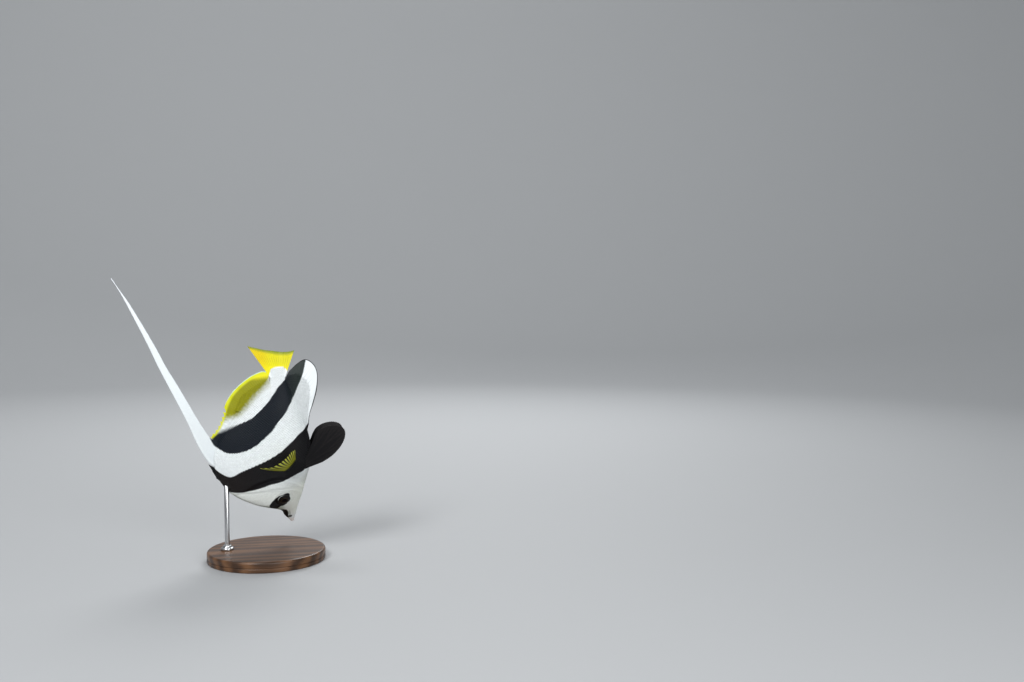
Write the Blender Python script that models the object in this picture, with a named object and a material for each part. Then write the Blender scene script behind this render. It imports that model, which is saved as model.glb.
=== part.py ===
# A longfin bannerfish as a life-size museum model: nose down on a round base with one rod.
# Sizes are millimetres in the fish's own straight frame: s runs from the snout towards the tail,
# r to the fish's right and h up its back. The pose bends and turns that frame into the world.
import math

import bmesh
import bpy
import numpy as np
from mathutils import Matrix, Vector

MM = 0.001
GAP = 0.3
ACROSS = np.array([0.0, 1.0, 0.0])

# Stations of the body, from the snout to the root of the tail fin:
# back (s, h), belly (s, h), half width, height share of the widest place, fullness above and below it.
STATIONS = (
    (0.0, 1.8, 0.3, -3.2, 1.9, 0.50, 0.50, 0.50),
    (7.5, 7.0, 7.0, -5.2, 3.3, 0.48, 0.50, 0.50),
    (14.0, 9.6, 14.0, -6.8, 4.8, 0.46, 0.50, 0.50),
    (18.0, 15.5, 20.0, -8.6, 6.5, 0.45, 0.50, 0.50),
    (21.0, 24.0, 26.0, -10.6, 8.2, 0.43, 0.52, 0.50),
    (26.2, 36.0, 33.0, -12.8, 9.9, 0.40, 0.55, 0.50),
    (34.0, 48.3, 42.0, -15.4, 11.6, 0.38, 0.60, 0.50),
    (43.5, 58.6, 52.0, -18.6, 12.9, 0.37, 0.66, 0.50),
    (56.0, 66.6, 62.0, -21.7, 13.6, 0.38, 0.72, 0.50),
    (70.0, 71.6, 73.0, -24.2, 13.8, 0.39, 0.78, 0.52),
    (86.0, 72.6, 84.0, -25.6, 13.3, 0.40, 0.80, 0.55),
    (101.0, 67.6, 97.0, -25.2, 12.2, 0.41, 0.80, 0.60),
    (114.0, 56.8, 110.0, -22.6, 10.7, 0.42, 0.80, 0.68),
    (127.0, 43.4, 123.0, -18.6, 8.9, 0.43, 0.78, 0.72),
    (139.0, 29.8, 136.0, -14.4, 7.0, 0.45, 0.74, 0.72),
    (149.5, 17.6, 148.0, -10.6, 5.2, 0.47, 0.66, 0.66),
    (157.5, 10.2, 157.0, -8.0, 3.7, 0.50, 0.56, 0.56),
    (165.0, 7.8, 165.0, -7.0, 2.3, 0.50, 0.50, 0.50),
)
RIDGE_HALF = 1.0            # half thickness of the back and belly ridges that the fins stand on
HEAD_RIDGE_HALF = 0.6
HEAD_STATIONS = 6           # the ridge is the head's as far as this station
BODY_LENGTH = STATIONS[-1][0]

# Pose: the head turns away to the fish's right, the tail a little too, and the nose points down.
HEAD_TURN = 26.0
TAIL_TURN = 14.0
TURN_SPAN = 160.0
AXIS_LEAN = 4.9
SNOUT_PLACE = (27.0, 29.0, 34.0)

# Eye, mouth, nostrils and gill cover
EYE_PLACE = (35.2, 6.2)
EYE_RADIUS = 7.6
EYE_HALF_DEPTH = 4.2
EYE_PROUD = 1.7
ORBIT_RADIUS = 6.7
ORBIT_RING = 0.7
ORBIT_SUNK = 0.23
LIP_THICKNESS = 1.2
LIP_HALF_WIDTH = 2.3
MOUTH_DEPTH = 4.6
NOSTRILS = ((19.8, 8.6), (22.4, 10.4))
NOSTRIL_RADIUS = 0.75
GILL_EDGE = ((33.0, -27.0), (42.0, -16.5), (53.0, -8.0), (59.0, 3.0), (60.5, 14.0), (58.0, 26.0),
             (53.5, 37.0), (48.0, 47.0), (41.5, 56.0), (32.0, 68.0))
COVER_PLACE = (50.6, 9.5)
COVER_HALF_LENGTH = 7.4
COVER_HALF_HEIGHT = 19.0
COVER_LEAN = 8.0
COVER_PROUD = 0.45
COVER_DEPTH = 1.4
STALK_CUT = ((154.6, 34.0), (156.6, 14.0), (156.8, 0.0), (155.8, -9.0), (153.6, -30.0))

# Fins: outlines and counts of spines and rays
MEMBRANE_HALF = 0.27
RAY_HALF = 0.30             # what a ray adds to each face at its root
SPINE_HALF = 0.42           # what the streamer's own spine adds
BANNER_FRONT = ((76.0, 72.9), (83.6, 78.6), (103.4, 86.8), (124.3, 93.4), (143.1, 100.3), (164.0, 108.5),
                (187.0, 117.4), (210.0, 125.4), (250.0, 140.8), (268.6, 148.6), (280.4, 154.7))
BANNER_REAR = ((101.5, 67.3), (104.6, 71.4), (109.6, 74.8), (126.8, 83.2), (147.7, 92.4), (166.9, 101.0),
               (184.3, 109.2), (207.3, 118.4), (249.6, 137.4), (271.6, 149.2), (280.9, 153.9))
BANNER_ROWS = 30
NAPE_ROOT = (59.5, 75.4)
NAPE_EDGE = ((64.5, 71.9), (70.2, 74.0), (75.6, 76.2), (80.8, 77.9))
NAPE_SPINES = 3
SPINY_ROOT = (103.2, 129.6)
SPINY_EDGE = ((109.8, 72.6), (113.6, 68.8), (117.4, 65.6), (122.0, 62.7), (129.0, 59.8), (136.6, 57.0))
DORSAL_SPINES = 7
SOFT_ROOT = (130.2, 156.6)
SOFT_EDGE = ((137.2, 56.7), (144.5, 53.0), (152.5, 46.8), (160.8, 36.6), (166.8, 26.2), (169.8, 16.5),
             (168.6, 9.6))
DORSAL_RAYS = 19
ANAL_ROOT = (103.0, 159.6)
ANAL_EDGE = ((111.0, -26.0), (122.0, -28.4), (133.0, -33.2), (145.5, -37.6), (160.0, -40.0), (169.5, -38.4),
             (176.2, -33.4), (178.0, -27.6), (174.0, -19.8), (167.4, -11.4))
ANAL_SPINES = 3
ANAL_RAYS = 17
TAIL_EDGE = ((198.0, 28.0), (194.6, 19.0), (191.6, 9.0), (189.4, -1.0), (187.8, -10.0), (188.6, -19.0))
TAIL_RAYS = 15
PELVIC_ROOT = ((66.5, -17.6), (78.5, -19.8))
PELVIC_EDGE = ((73.0, -36.0), (79.5, -47.0), (88.5, -56.6), (97.5, -61.0), (104.5, -59.6), (108.4, -52.0),
               (108.0, -42.0), (104.4, -34.0), (99.0, -29.6))
PELVIC_SPLAY = 13.0
PELVIC_RAYS = 9
PECTORAL_ROOT = ((69.6, 0.6), (78.6, -8.2))
PAIRED_ROOT_HALF = 1.3      # half thickness of a paired fin where it stands on the flank
# rays of the left fin from the leading one to the last: s, h and r from the root
PECTORAL_REACH = ((11.8, 27.6, -20.6), (10.0, 17.9, -23.0), (11.4, 10.4, -24.0), (12.6, 5.8, -23.0),
                  (13.6, 2.8, -20.0), (13.1, 0.2, -16.0))
PECTORAL_BOW = 1.4          # how far the rays bow outwards at half their length
PECTORAL_RAYS = 13

# Stand
BASE_RADIUS = 60.0
BASE_THICKNESS = 11.0
BASE_BEVEL = 2.2
ROD_RADIUS = 2.5
ROD_BEVEL = 0.4
ROD_TOP = (60.0, 62.0)
ROD_SUNK = 6.0
COLLAR_RADIUS = 6.5
COLLAR_HEIGHT = 5.0
COLLAR_BEVEL = 1.0
BASE_SIDES = 56
ROD_SIDES = 20

# How finely the body is divided
HEAD_RINGS = 23
TRUNK_RINGS = 34
RING_HEIGHTS = 15


def spline(points, t):
    """Catmull-Rom curve through rows of numbers, at parameters t counted in rows."""
    rows = np.asarray(points, float)
    last = len(rows) - 1
    t = np.clip(np.asarray(t, float), 0.0, last)
    i = np.minimum(t.astype(int), last - 1)
    f = (t - i)[..., None]
    slope = np.gradient(rows, axis=0)
    p, q, m, n = rows[i], rows[i + 1], slope[i], slope[i + 1]
    return (p * (2 * f**3 - 3 * f**2 + 1) + q * (3 * f**2 - 2 * f**3)
            + m * (f**3 - 2 * f**2 + f) + n * (f**3 - f**2))


def along(points, count, start=0.0, end=1.0):
    """count points on the spline through points, evenly spaced by length, between two shares of it."""
    fine = spline(points, np.linspace(0, len(points) - 1, 400))
    run = np.concatenate([[0], np.cumsum(np.linalg.norm(np.diff(fine, axis=0), axis=1))])
    want = np.linspace(start, end, count) * run[-1]
    return np.stack([np.interp(want, run, fine[:, k]) for k in range(fine.shape[1])], -1)


def section(u, v):
    """Straight-frame place and half width of the body at station u and height share v."""
    row = spline(STATIONS, u)
    back, belly = row[..., 0:2], row[..., 2:4]
    place = belly + (back - belly) * np.asarray(v, float)[..., None]
    width, widest, above, below = (row[..., k] for k in range(4, 8))
    high = np.clip((v - widest) / (1 - widest), 0, 1)
    low = np.clip((widest - v) / widest, 0, 1)
    shape = np.where(v > widest, np.maximum(1 - high**2, 0) ** above, np.maximum(1 - low**2, 0) ** below)
    to_trunk = np.clip((u - HEAD_STATIONS) / 2, 0, 1)
    ridge = HEAD_RIDGE_HALF + (RIDGE_HALF - HEAD_RIDGE_HALF) * to_trunk
    return place, ridge + (width - ridge) * shape


def find_section(s, h):
    """Station and height share of a place in the side view, by halving the range of stations."""
    s, h = np.broadcast_arrays(np.asarray(s, float), np.asarray(h, float))
    low, high = np.zeros(s.shape), np.full(s.shape, len(STATIONS) - 1.0)
    for _ in range(40):
        middle = (low + high) / 2
        row = spline(STATIONS, middle)
        rise = row[..., 0:2] - row[..., 2:4]
        reach = np.stack([s, h], -1) - row[..., 2:4]
        ahead = rise[..., 0] * reach[..., 1] - rise[..., 1] * reach[..., 0] > 0
        high = np.where(ahead, middle, high)
        low = np.where(ahead, low, middle)
    share = (rise * reach).sum(-1) / (rise * rise).sum(-1)
    return low, np.clip(share, 0, 1)


def flank(s, h):
    """Half width of the body at a place in the side view."""
    u, v = find_section(s, h)
    return section(u, v)[1]


def ridge_line(root, above, count):
    """Points of the back (above) or belly ridge between two values of s, one gap off the body."""
    fine = spline(STATIONS, np.linspace(0, len(STATIONS) - 1, 1500))[:, 0:2] if above else \
        spline(STATIONS, np.linspace(0, len(STATIONS) - 1, 1500))[:, 2:4]
    s = np.linspace(root[0], root[1], count)
    h = np.interp(s, fine[:, 0], fine[:, 1])
    step = np.gradient(np.stack([s, h], -1), axis=0)
    step /= np.linalg.norm(step, axis=1)[:, None]
    outward = np.stack([-step[:, 1], step[:, 0]], -1) * (1 if above else -1)
    return np.stack([s, h], -1) + outward * GAP


def turn_at(s):
    """Heading of the midline in radians at s, against the straight frame."""
    def ease(t):
        t = np.clip(t, 0, 1)
        return t * t * (3 - 2 * t)
    share = np.asarray(s, float) / TURN_SPAN
    return (-math.radians(HEAD_TURN) * (1 - ease((share - 0.25) / 0.45))
            + math.radians(TAIL_TURN) * ease((share - 0.7) / 0.4))


MIDLINE_S = np.linspace(-40.0, 320.0, 3601)
MIDLINE_STEP = MIDLINE_S[1] - MIDLINE_S[0]
MIDLINE_TURN = turn_at(MIDLINE_S)
MIDLINE_ALONG = np.cumsum(np.cos(MIDLINE_TURN)) * MIDLINE_STEP
MIDLINE_ACROSS = np.cumsum(np.sin(MIDLINE_TURN)) * MIDLINE_STEP
MIDLINE_ALONG -= np.interp(0.0, MIDLINE_S, MIDLINE_ALONG)
MIDLINE_ACROSS -= np.interp(0.0, MIDLINE_S, MIDLINE_ACROSS)


def posed(s, r, h):
    """World places in metres of straight-frame places in millimetres."""
    s, r, h = np.broadcast_arrays(np.asarray(s, float), np.asarray(r, float), np.asarray(h, float))
    heading = turn_at(s)
    tailward = np.interp(s, MIDLINE_S, MIDLINE_ALONG) - r * np.sin(heading)
    across = np.interp(s, MIDLINE_S, MIDLINE_ACROSS) + r * np.cos(heading)
    lean = math.radians(AXIS_LEAN)
    x = SNOUT_PLACE[0] - tailward * math.sin(lean) - h * math.cos(lean)
    y = SNOUT_PLACE[1] + across
    z = SNOUT_PLACE[2] + tailward * math.cos(lean) - h * math.sin(lean)
    return np.stack([x, y, z], -1) * MM


def make_material(name, colour, roughness, metallic=0.0):
    material = bpy.data.materials.new(name)
    material.use_nodes = True
    shader = material.node_tree.nodes["Principled BSDF"]
    shader.inputs["Base Color"].default_value = (*colour, 1.0)
    shader.inputs["Roughness"].default_value = roughness
    shader.inputs["Metallic"].default_value = metallic
    return material


def new_object(name, places, faces, material=None):
    """An object from world places and faces, with its faces pointing out."""
    mesh = bpy.data.meshes.new(name)
    mesh.from_pydata([tuple(p) for p in places], [], faces)
    work = bmesh.new()
    work.from_mesh(mesh)
    return outward_object(name, work, material)


def outward_object(name, work, material=None):
    """An object from a closed bmesh, with its faces turned outward."""
    work.normal_update()
    bmesh.ops.recalc_face_normals(work, faces=work.faces)
    if work.calc_volume(signed=True) < 0:
        bmesh.ops.reverse_faces(work, faces=work.faces)
    mesh = bpy.data.meshes.new(name)
    work.to_mesh(mesh)
    work.free()
    made = bpy.data.objects.new(name, mesh)
    bpy.context.scene.collection.objects.link(made)
    if material:
        mesh.materials.append(material)
    return made


def rings_solid(name, rings, material=None):
    """A closed solid through a row of closed rings, with its ends capped and every quad split alike."""
    count, size = len(rings), len(rings[0])
    faces = []
    for i in range(count - 1):
        for j in range(size):
            a, b = i * size + j, i * size + (j + 1) % size
            faces += [(a, b, b + size), (a, b + size, a + size)]
    half = size // 2
    for start, flip in ((0, True), ((count - 1) * size, False)):
        for j in range(half - 1):
            quad = [start + j, start + j + 1, start + size - 2 - j, start + size - 1 - j]
            quad = quad[::-1] if flip else quad
            faces += [(quad[0], quad[1], quad[2]), (quad[0], quad[2], quad[3])]
    return new_object(name, np.concatenate(rings), faces, material)


def both_faces(middle, half, across=None):
    """The two faces of a sheet: its middle grid moved half its thickness each way along across,
    or along the grid's own normal."""
    if across is None:
        across = np.cross(np.gradient(middle, axis=0), np.gradient(middle, axis=1))
        across /= np.linalg.norm(across, axis=-1)[..., None] + 1e-12
    return middle - across * half[..., None], middle + across * half[..., None]


def sheet_solid(name, faces_of_sheet, material=None):
    """A closed thin solid between two grids of straight-frame places, split into triangles alike."""
    near, far = faces_of_sheet
    rows, columns = near.shape[:2]
    places = np.concatenate([near.reshape(-1, 3), far.reshape(-1, 3)])
    size = rows * columns
    faces = []
    for i in range(rows - 1):
        for j in range(columns - 1):
            a = i * columns + j
            b, c, d = a + 1, a + columns + 1, a + columns
            faces += [(a, b, c), (a, c, d), (size + a, size + c, size + b), (size + a, size + d, size + c)]
    rim = list(range(columns))
    rim += [i * columns + columns - 1 for i in range(1, rows)]
    rim += [(rows - 1) * columns + j for j in range(columns - 2, -1, -1)]
    rim += [i * columns for i in range(rows - 2, 0, -1)]
    for a, b in zip(rim, rim[1:] + rim[:1]):
        faces += [(a, size + b, b), (a, size + a, size + b)]
    return new_object(name, posed(places[:, 0], places[:, 1], places[:, 2]), faces, material)


def apply_modifiers(made):
    bpy.context.view_layer.update()
    graph = bpy.context.evaluated_depsgraph_get()
    mesh = bpy.data.meshes.new_from_object(made.evaluated_get(graph))
    made.modifiers.clear()
    old = made.data
    made.data = mesh
    bpy.data.meshes.remove(old)


def combine(made, others, operation):
    """Applies one Boolean with a collection of closed objects, then removes those objects."""
    group = bpy.data.collections.new("cutters")
    bpy.context.scene.collection.children.link(group)
    for other in others:
        group.objects.link(other)
    change = made.modifiers.new("boolean", "BOOLEAN")
    change.operation = operation
    change.solver = "EXACT"
    change.operand_type = "COLLECTION"
    change.collection = group
    apply_modifiers(made)
    for other in others:
        bpy.data.objects.remove(other)
    bpy.data.collections.remove(group)


def shells(mesh):
    """The closed surfaces of a mesh as lists of face indices, largest first."""
    work = bmesh.new()
    work.from_mesh(mesh)
    work.faces.ensure_lookup_table()
    seen, found = set(), []
    for start in work.faces:
        if start.index in seen:
            continue
        stack, island = [start], []
        seen.add(start.index)
        while stack:
            face = stack.pop()
            island.append(face.index)
            for edge in face.edges:
                for other in edge.link_faces:
                    if other.index not in seen:
                        seen.add(other.index)
                        stack.append(other)
        found.append(island)
    work.free()
    return sorted(found, key=len, reverse=True)


def keep_faces(made, island):
    """Leaves only the listed faces in an object's mesh."""
    work = bmesh.new()
    work.from_mesh(made.data)
    work.faces.ensure_lookup_table()
    kept = set(island)
    bmesh.ops.delete(work, geom=[f for f in work.faces if f.index not in kept], context="FACES")
    work.to_mesh(made.data)
    work.free()


def keep_largest(made):
    keep_faces(made, shells(made.data)[0])


def body_rings(first, last, count):
    """Rings of the body between two stations, up the left side and down the right."""
    rings = []
    heights = (1 - np.cos(np.linspace(0, math.pi, RING_HEIGHTS))) / 2
    for u in np.linspace(first, last, count):
        place, width = section(np.full(RING_HEIGHTS, u), heights)
        left = posed(place[:, 0], -width, place[:, 1])
        right = posed(place[:, 0], width, place[:, 1])[::-1]
        rings.append(np.concatenate([left, right]))
    return rings


def wall(path, half_thickness, reach):
    """A thin upright wall along a path in the side view, through the whole body, as a cutter."""
    line = along(path, 26)
    sides = np.linspace(-reach, reach, 5)
    step = np.gradient(line, axis=0)
    step /= np.linalg.norm(step, axis=1)[:, None]
    across = np.stack([-step[:, 1], np.zeros(len(step)), step[:, 0]], -1)
    middle = np.empty((len(line), len(sides), 3))
    middle[..., 0], middle[..., 1], middle[..., 2] = line[:, 0:1], sides, line[:, 1:2]
    return sheet_solid("wall", both_faces(middle, np.full(middle.shape[:2], half_thickness), across[:, None]))


def surface_frame(s, h, side):
    """World place and axes (outward, tailward, upward) of the skin on one side, -1 left or 1 right."""
    def point(a, b):
        return Vector(posed(a, side * flank(a, b), b))
    centre = point(s, h)
    tail = (point(s + 1, h) - point(s - 1, h)).normalized()
    up = (point(s, h + 1) - point(s, h - 1)).normalized()
    outward = tail.cross(up).normalized()
    middle = Vector(posed(s, 0, h))
    if outward.dot(centre - middle) < 0:
        outward.negate()
    up = outward.cross(tail).normalized()
    return centre, outward, tail, up


def ellipsoid(name, centre, axes, radii, segments, rings, material=None):
    """A sphere scaled along three axes."""
    work = bmesh.new()
    bmesh.ops.create_uvsphere(work, u_segments=segments, v_segments=rings, radius=1.0)
    basis = Matrix([[axes[k][i] * radii[k] * MM for k in range(3)] for i in range(3)])
    bmesh.ops.triangulate(work, faces=work.faces)
    for vert in work.verts:
        vert.co = basis @ vert.co + centre
    return outward_object(name, work, material)


def tube(name, line, radii, sides):
    """A closed round tube through world points of one level h, with a radius in millimetres at each."""
    line = np.asarray(line, float)
    step = np.gradient(line, axis=0)
    step /= np.linalg.norm(step, axis=1)[:, None]
    side = np.cross(step, posed(0.0, 0.0, 1.0) - posed(0.0, 0.0, 0.0))
    side /= np.linalg.norm(side, axis=1)[:, None]
    other = np.cross(step, side)
    angle = np.linspace(0, 2 * math.pi, sides, endpoint=False)
    rings = [p + (np.outer(np.cos(angle), a) + np.outer(np.sin(angle), b)) * radius * MM
             for p, a, b, radius in zip(line, side, other, radii)]
    return rings_solid(name, rings)


def ring_tube(name, centre, axes, radius, thickness, segments, sides):
    """A closed ring round a centre, in the plane of the last two axes."""
    places, faces = [], []
    for i in range(segments):
        turn = 2 * math.pi * i / segments
        spoke = axes[1] * math.cos(turn) + axes[2] * math.sin(turn)
        for j in range(sides):
            tilt = 2 * math.pi * j / sides
            reach = radius + thickness * math.cos(tilt)
            places.append(centre + (spoke * reach + axes[0] * thickness * math.sin(tilt)) * MM)
    for i in range(segments):
        for j in range(sides):
            a, b = i * sides + j, i * sides + (j + 1) % sides
            c, d = (i + 1) % segments * sides + (j + 1) % sides, (i + 1) % segments * sides + j
            faces += [(a, b, c), (a, c, d)]
    return new_object(name, places, faces)


def eye_axes(side):
    """Centre and axes of an eyeball: sunk in the head so that only its front stands proud."""
    centre, outward, tail, up = surface_frame(*EYE_PLACE, side)
    return centre + outward * (EYE_PROUD - EYE_HALF_DEPTH) * MM, (outward, tail, up), centre


def eyeball(name, side, clearance=0.0, material=None):
    centre, axes, _ = eye_axes(side)
    radii = (EYE_HALF_DEPTH + clearance, EYE_RADIUS + clearance, EYE_RADIUS + clearance)
    order = (axes[1], axes[2], axes[0])
    return ellipsoid(name, centre, order, (radii[1], radii[2], radii[0]), 18, 9, material)


def lips():
    """Upper and lower lip: round tubes from one corner of the mouth round its front to the other."""
    made = []
    for name, front_s, front_h, corner_h in (("upper", -1.0, 0.3, -0.5), ("lower", -0.3, -2.9, -2.0)):
        a = np.linspace(-1, 1, 11)
        s = front_s + (MOUTH_DEPTH - front_s) * np.abs(a) ** 2.2
        h = front_h + (corner_h - front_h) * np.abs(a) ** 1.6
        r = np.sign(a) * LIP_HALF_WIDTH * np.abs(a) ** 0.8
        thickness = LIP_THICKNESS * (1 - 0.45 * a**2)
        made.append(tube(name, posed(s, r, h), thickness, 6))
    return made


def mouth_slit():
    """A thin slot between the lips."""
    depth = np.linspace(-5.0, MOUTH_DEPTH - 1.0, 3)
    sides = np.linspace(-5.0, 5.0, 3)
    s, r = np.meshgrid(depth, sides, indexing="ij")
    middle = np.stack([s, r, np.full(s.shape, -1.3)], -1)
    return sheet_solid("slit", both_faces(middle, np.full(s.shape, 0.28), np.array([0.0, 0.0, 1.0])))


def gill_cover(name, side, clearance=0.0, material=None):
    """The plate behind the cheek: an oval piece of the flank that stands a little proud of it."""
    x, y = np.meshgrid(np.linspace(-1, 1, 6), np.linspace(-1, 1, 10), indexing="ij")
    lean = math.radians(COVER_LEAN)
    a = (COVER_HALF_LENGTH + clearance) * x * np.sqrt(1 - y**2 / 2)
    b = (COVER_HALF_HEIGHT + clearance) * y * np.sqrt(1 - x**2 / 2)
    s = COVER_PLACE[0] + a * math.cos(lean) - b * math.sin(lean)
    h = COVER_PLACE[1] + a * math.sin(lean) + b * math.cos(lean)
    edge = np.maximum(np.abs(x), np.abs(y))
    proud = COVER_PROUD * (1 - edge**6) + clearance * 6
    middle = flank(s, h) + (proud - COVER_DEPTH - clearance) / 2
    half = (proud + COVER_DEPTH + clearance) / 2
    places = np.stack([s, side * middle, h], -1)
    return sheet_solid(name, both_faces(places, half, ACROSS), material)


def ray_columns(count):
    """Columns of a fin with rays: their share along the fin, and 1 on a ray or 0 between rays."""
    share = np.linspace(0, 1, 2 * count - 1)
    return share, (np.arange(2 * count - 1) % 2 == 0).astype(float)


def fin_solid(name, root, edge, on_ray, rows, material, scallop=0.0, root_half=RIDGE_HALF):
    """A median fin between its root line and its margin, in the fish's own plane.

    on_ray lifts a column into a ray's ridge, and scallop draws the margin in between rays."""
    w = np.linspace(0, 1, rows)
    reach = 1 - scallop * (1 - on_ray)
    share = w[:, None] * reach[None, :]
    flat = root[None] + (edge - root)[None] * share[..., None]
    middle = np.stack([flat[..., 0], np.zeros(share.shape), flat[..., 1]], -1)
    thin = (MEMBRANE_HALF + RAY_HALF * on_ray[None] * (1 - 0.75 * share)) * np.ones(share.shape)
    start = np.exp(-w[:, None] * rows * 0.9)
    half = thin + (root_half - thin) * start
    return sheet_solid(name, both_faces(middle, half, ACROSS), material)


def banner(material):
    """The fourth dorsal spine and its long streamer, between its front and rear edges."""
    front, rear = along(BANNER_FRONT, BANNER_ROWS), along(BANNER_REAR, BANNER_ROWS)
    share = np.array([0.0, 0.06, 0.16, 0.34, 0.58, 0.8, 1.0])
    ends = ridge_line((BANNER_FRONT[0][0], BANNER_REAR[0][0]), True, 13)
    foot = np.stack([np.interp(share, np.linspace(0, 1, len(ends)), ends[:, k]) for k in (0, 1)], -1)
    front[0], rear[0] = foot[0], foot[-1]
    flat = front[:, None] + (rear - front)[:, None] * share[None, :, None]
    row = np.arange(BANNER_ROWS)[:, None]
    flat += (foot - flat[0]) * np.exp(-row / 1.6)[..., None]
    down = row / (BANNER_ROWS - 1)
    thin = MEMBRANE_HALF + SPINE_HALF * np.exp(-((share - 0.08) / 0.09) ** 2) * (1 - 0.7 * down)
    half = thin + (RIDGE_HALF - thin) * np.exp(-row * 0.9)
    middle = np.stack([flat[..., 0], np.zeros(half.shape), flat[..., 1]], -1)
    return sheet_solid("banner", both_faces(middle, half, ACROSS), material)


def root_on_flank(line, lean, side):
    """The two edges of a fin's root on the flank, one gap off it: lean is the way from one to the other."""
    edges = []
    for sign in (-1, 1):
        s, h = line[:, 0] + sign * lean[0], line[:, 1] + sign * lean[1]
        u, v = find_section(s, h)
        width = section(u, v)[1]
        slope_s = flank(s + 0.5, h) - flank(s - 0.5, h)
        slope_h = flank(s, h + 0.5) - flank(s, h - 0.5)
        stretch = np.sqrt(1 + slope_s**2 + slope_h**2)
        off = GAP / stretch
        edges.append(np.stack([s - slope_s * off, side * (width + off), h - slope_h * off], -1))
    return edges


def rooted(root_edges, middle, half):
    """The two faces of a paired fin, drawn in at its root to the edges given on the flank."""
    near, far = both_faces(middle, half)
    swap = np.linalg.norm(near[0] - root_edges[0]) > np.linalg.norm(near[0] - root_edges[1])
    first, second = root_edges[::-1] if swap else root_edges
    near[0], far[0] = first, second
    return near, far


def pelvic_fin(name, side, material):
    """A paddle under the belly, its rays fanned backwards from its root."""
    share, on_ray = ray_columns(PELVIC_RAYS)
    w = (np.linspace(0, 1, 8) ** 1.15)[:, None]
    root = np.array(PELVIC_ROOT[0]) + np.outer(share, np.subtract(PELVIC_ROOT[1], PELVIC_ROOT[0]))
    edge = along(PELVIC_EDGE, len(share))
    flat = root + (edge - root) * (w * (1 - 0.02 * (1 - on_ray)))[..., None]
    edges = root_on_flank(root, (0.2, PAIRED_ROOT_HALF), side)
    away = np.linalg.norm(flat - root, axis=-1)
    start = (edges[0][:, 1] + edges[1][:, 1]) / 2
    r = start + side * away * math.tan(math.radians(PELVIC_SPLAY)) * (1 - away / 160)
    middle = np.stack([flat[..., 0], r, flat[..., 1]], -1)
    half = MEMBRANE_HALF + 0.36 * on_ray * (1 - 0.7 * w) + 0.6 * np.exp(-w * 9)
    return sheet_solid(name, rooted(edges, middle, half), material)


def pectoral_fin(name, side, material):
    """A fan on the flank, flared out and up from its root."""
    share, on_ray = ray_columns(PECTORAL_RAYS)
    w = (np.linspace(0, 1, 7) ** 1.1)[:, None]
    line = np.subtract(PECTORAL_ROOT[1], PECTORAL_ROOT[0])
    place = np.array(PECTORAL_ROOT[0]) + np.outer(share, line)
    normal = np.array([line[1], -line[0]]) / np.linalg.norm(line)
    edges = root_on_flank(place, normal * PAIRED_ROOT_HALF, side)
    root = (edges[0] + edges[1]) / 2
    ray = spline(PECTORAL_REACH, share * (len(PECTORAL_REACH) - 1))
    ray = np.stack([ray[:, 0], -side * ray[:, 2], ray[:, 1]], -1)
    reach = w * (1 - 0.03 * (1 - on_ray))
    middle = root + ray * reach[..., None]
    middle[..., 1] += side * PECTORAL_BOW * np.sin(math.pi * reach)
    half = MEMBRANE_HALF + 0.3 * on_ray * (1 - 0.75 * w) + 0.7 * np.exp(-w * 7)
    return sheet_solid(name, rooted(edges, middle, half), material)


def disc(name, radius, low, high, bevel, sides, centre, material=None):
    """A round upright piece with bevelled rims."""
    rings = []
    inner = radius - bevel
    for reach, z in ((inner, low), (radius, low + bevel), (radius, high - bevel), (inner, high)):
        angle = np.linspace(0, 2 * math.pi, sides, endpoint=False)
        ring = np.stack([centre[0] + reach * np.cos(angle), centre[1] + reach * np.sin(angle),
                         np.full(sides, z)], -1)
        rings.append(ring * MM)
    return rings_solid(name, rings, material)


def rod_centre():
    return posed(ROD_TOP[0], 0.0, ROD_TOP[1]) / MM


def make_stand(wood, steel):
    x, y, top = rod_centre()
    low = BASE_THICKNESS - ROD_SUNK
    past = 5.0          # how far a bore runs past the piece that it goes through
    disc("stand_base", BASE_RADIUS, 0.0, BASE_THICKNESS, BASE_BEVEL, BASE_SIDES, (0, 0), wood)
    hole = disc("hole", ROD_RADIUS + GAP, low - GAP, BASE_THICKNESS + past, ROD_BEVEL, ROD_SIDES, (x, y))
    combine(bpy.data.objects["stand_base"], [hole], "DIFFERENCE")
    disc("stand_rod", ROD_RADIUS, low, top, ROD_BEVEL, ROD_SIDES, (x, y), steel)
    foot = BASE_THICKNESS + GAP
    rim = foot + COLLAR_HEIGHT
    disc("stand_collar", COLLAR_RADIUS, foot, rim, COLLAR_BEVEL, ROD_SIDES, (x, y), steel)
    bore = disc("bore", ROD_RADIUS + GAP, foot - past, rim + past, ROD_BEVEL, ROD_SIDES, (x, y))
    combine(bpy.data.objects["stand_collar"], [bore], "DIFFERENCE")


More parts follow.
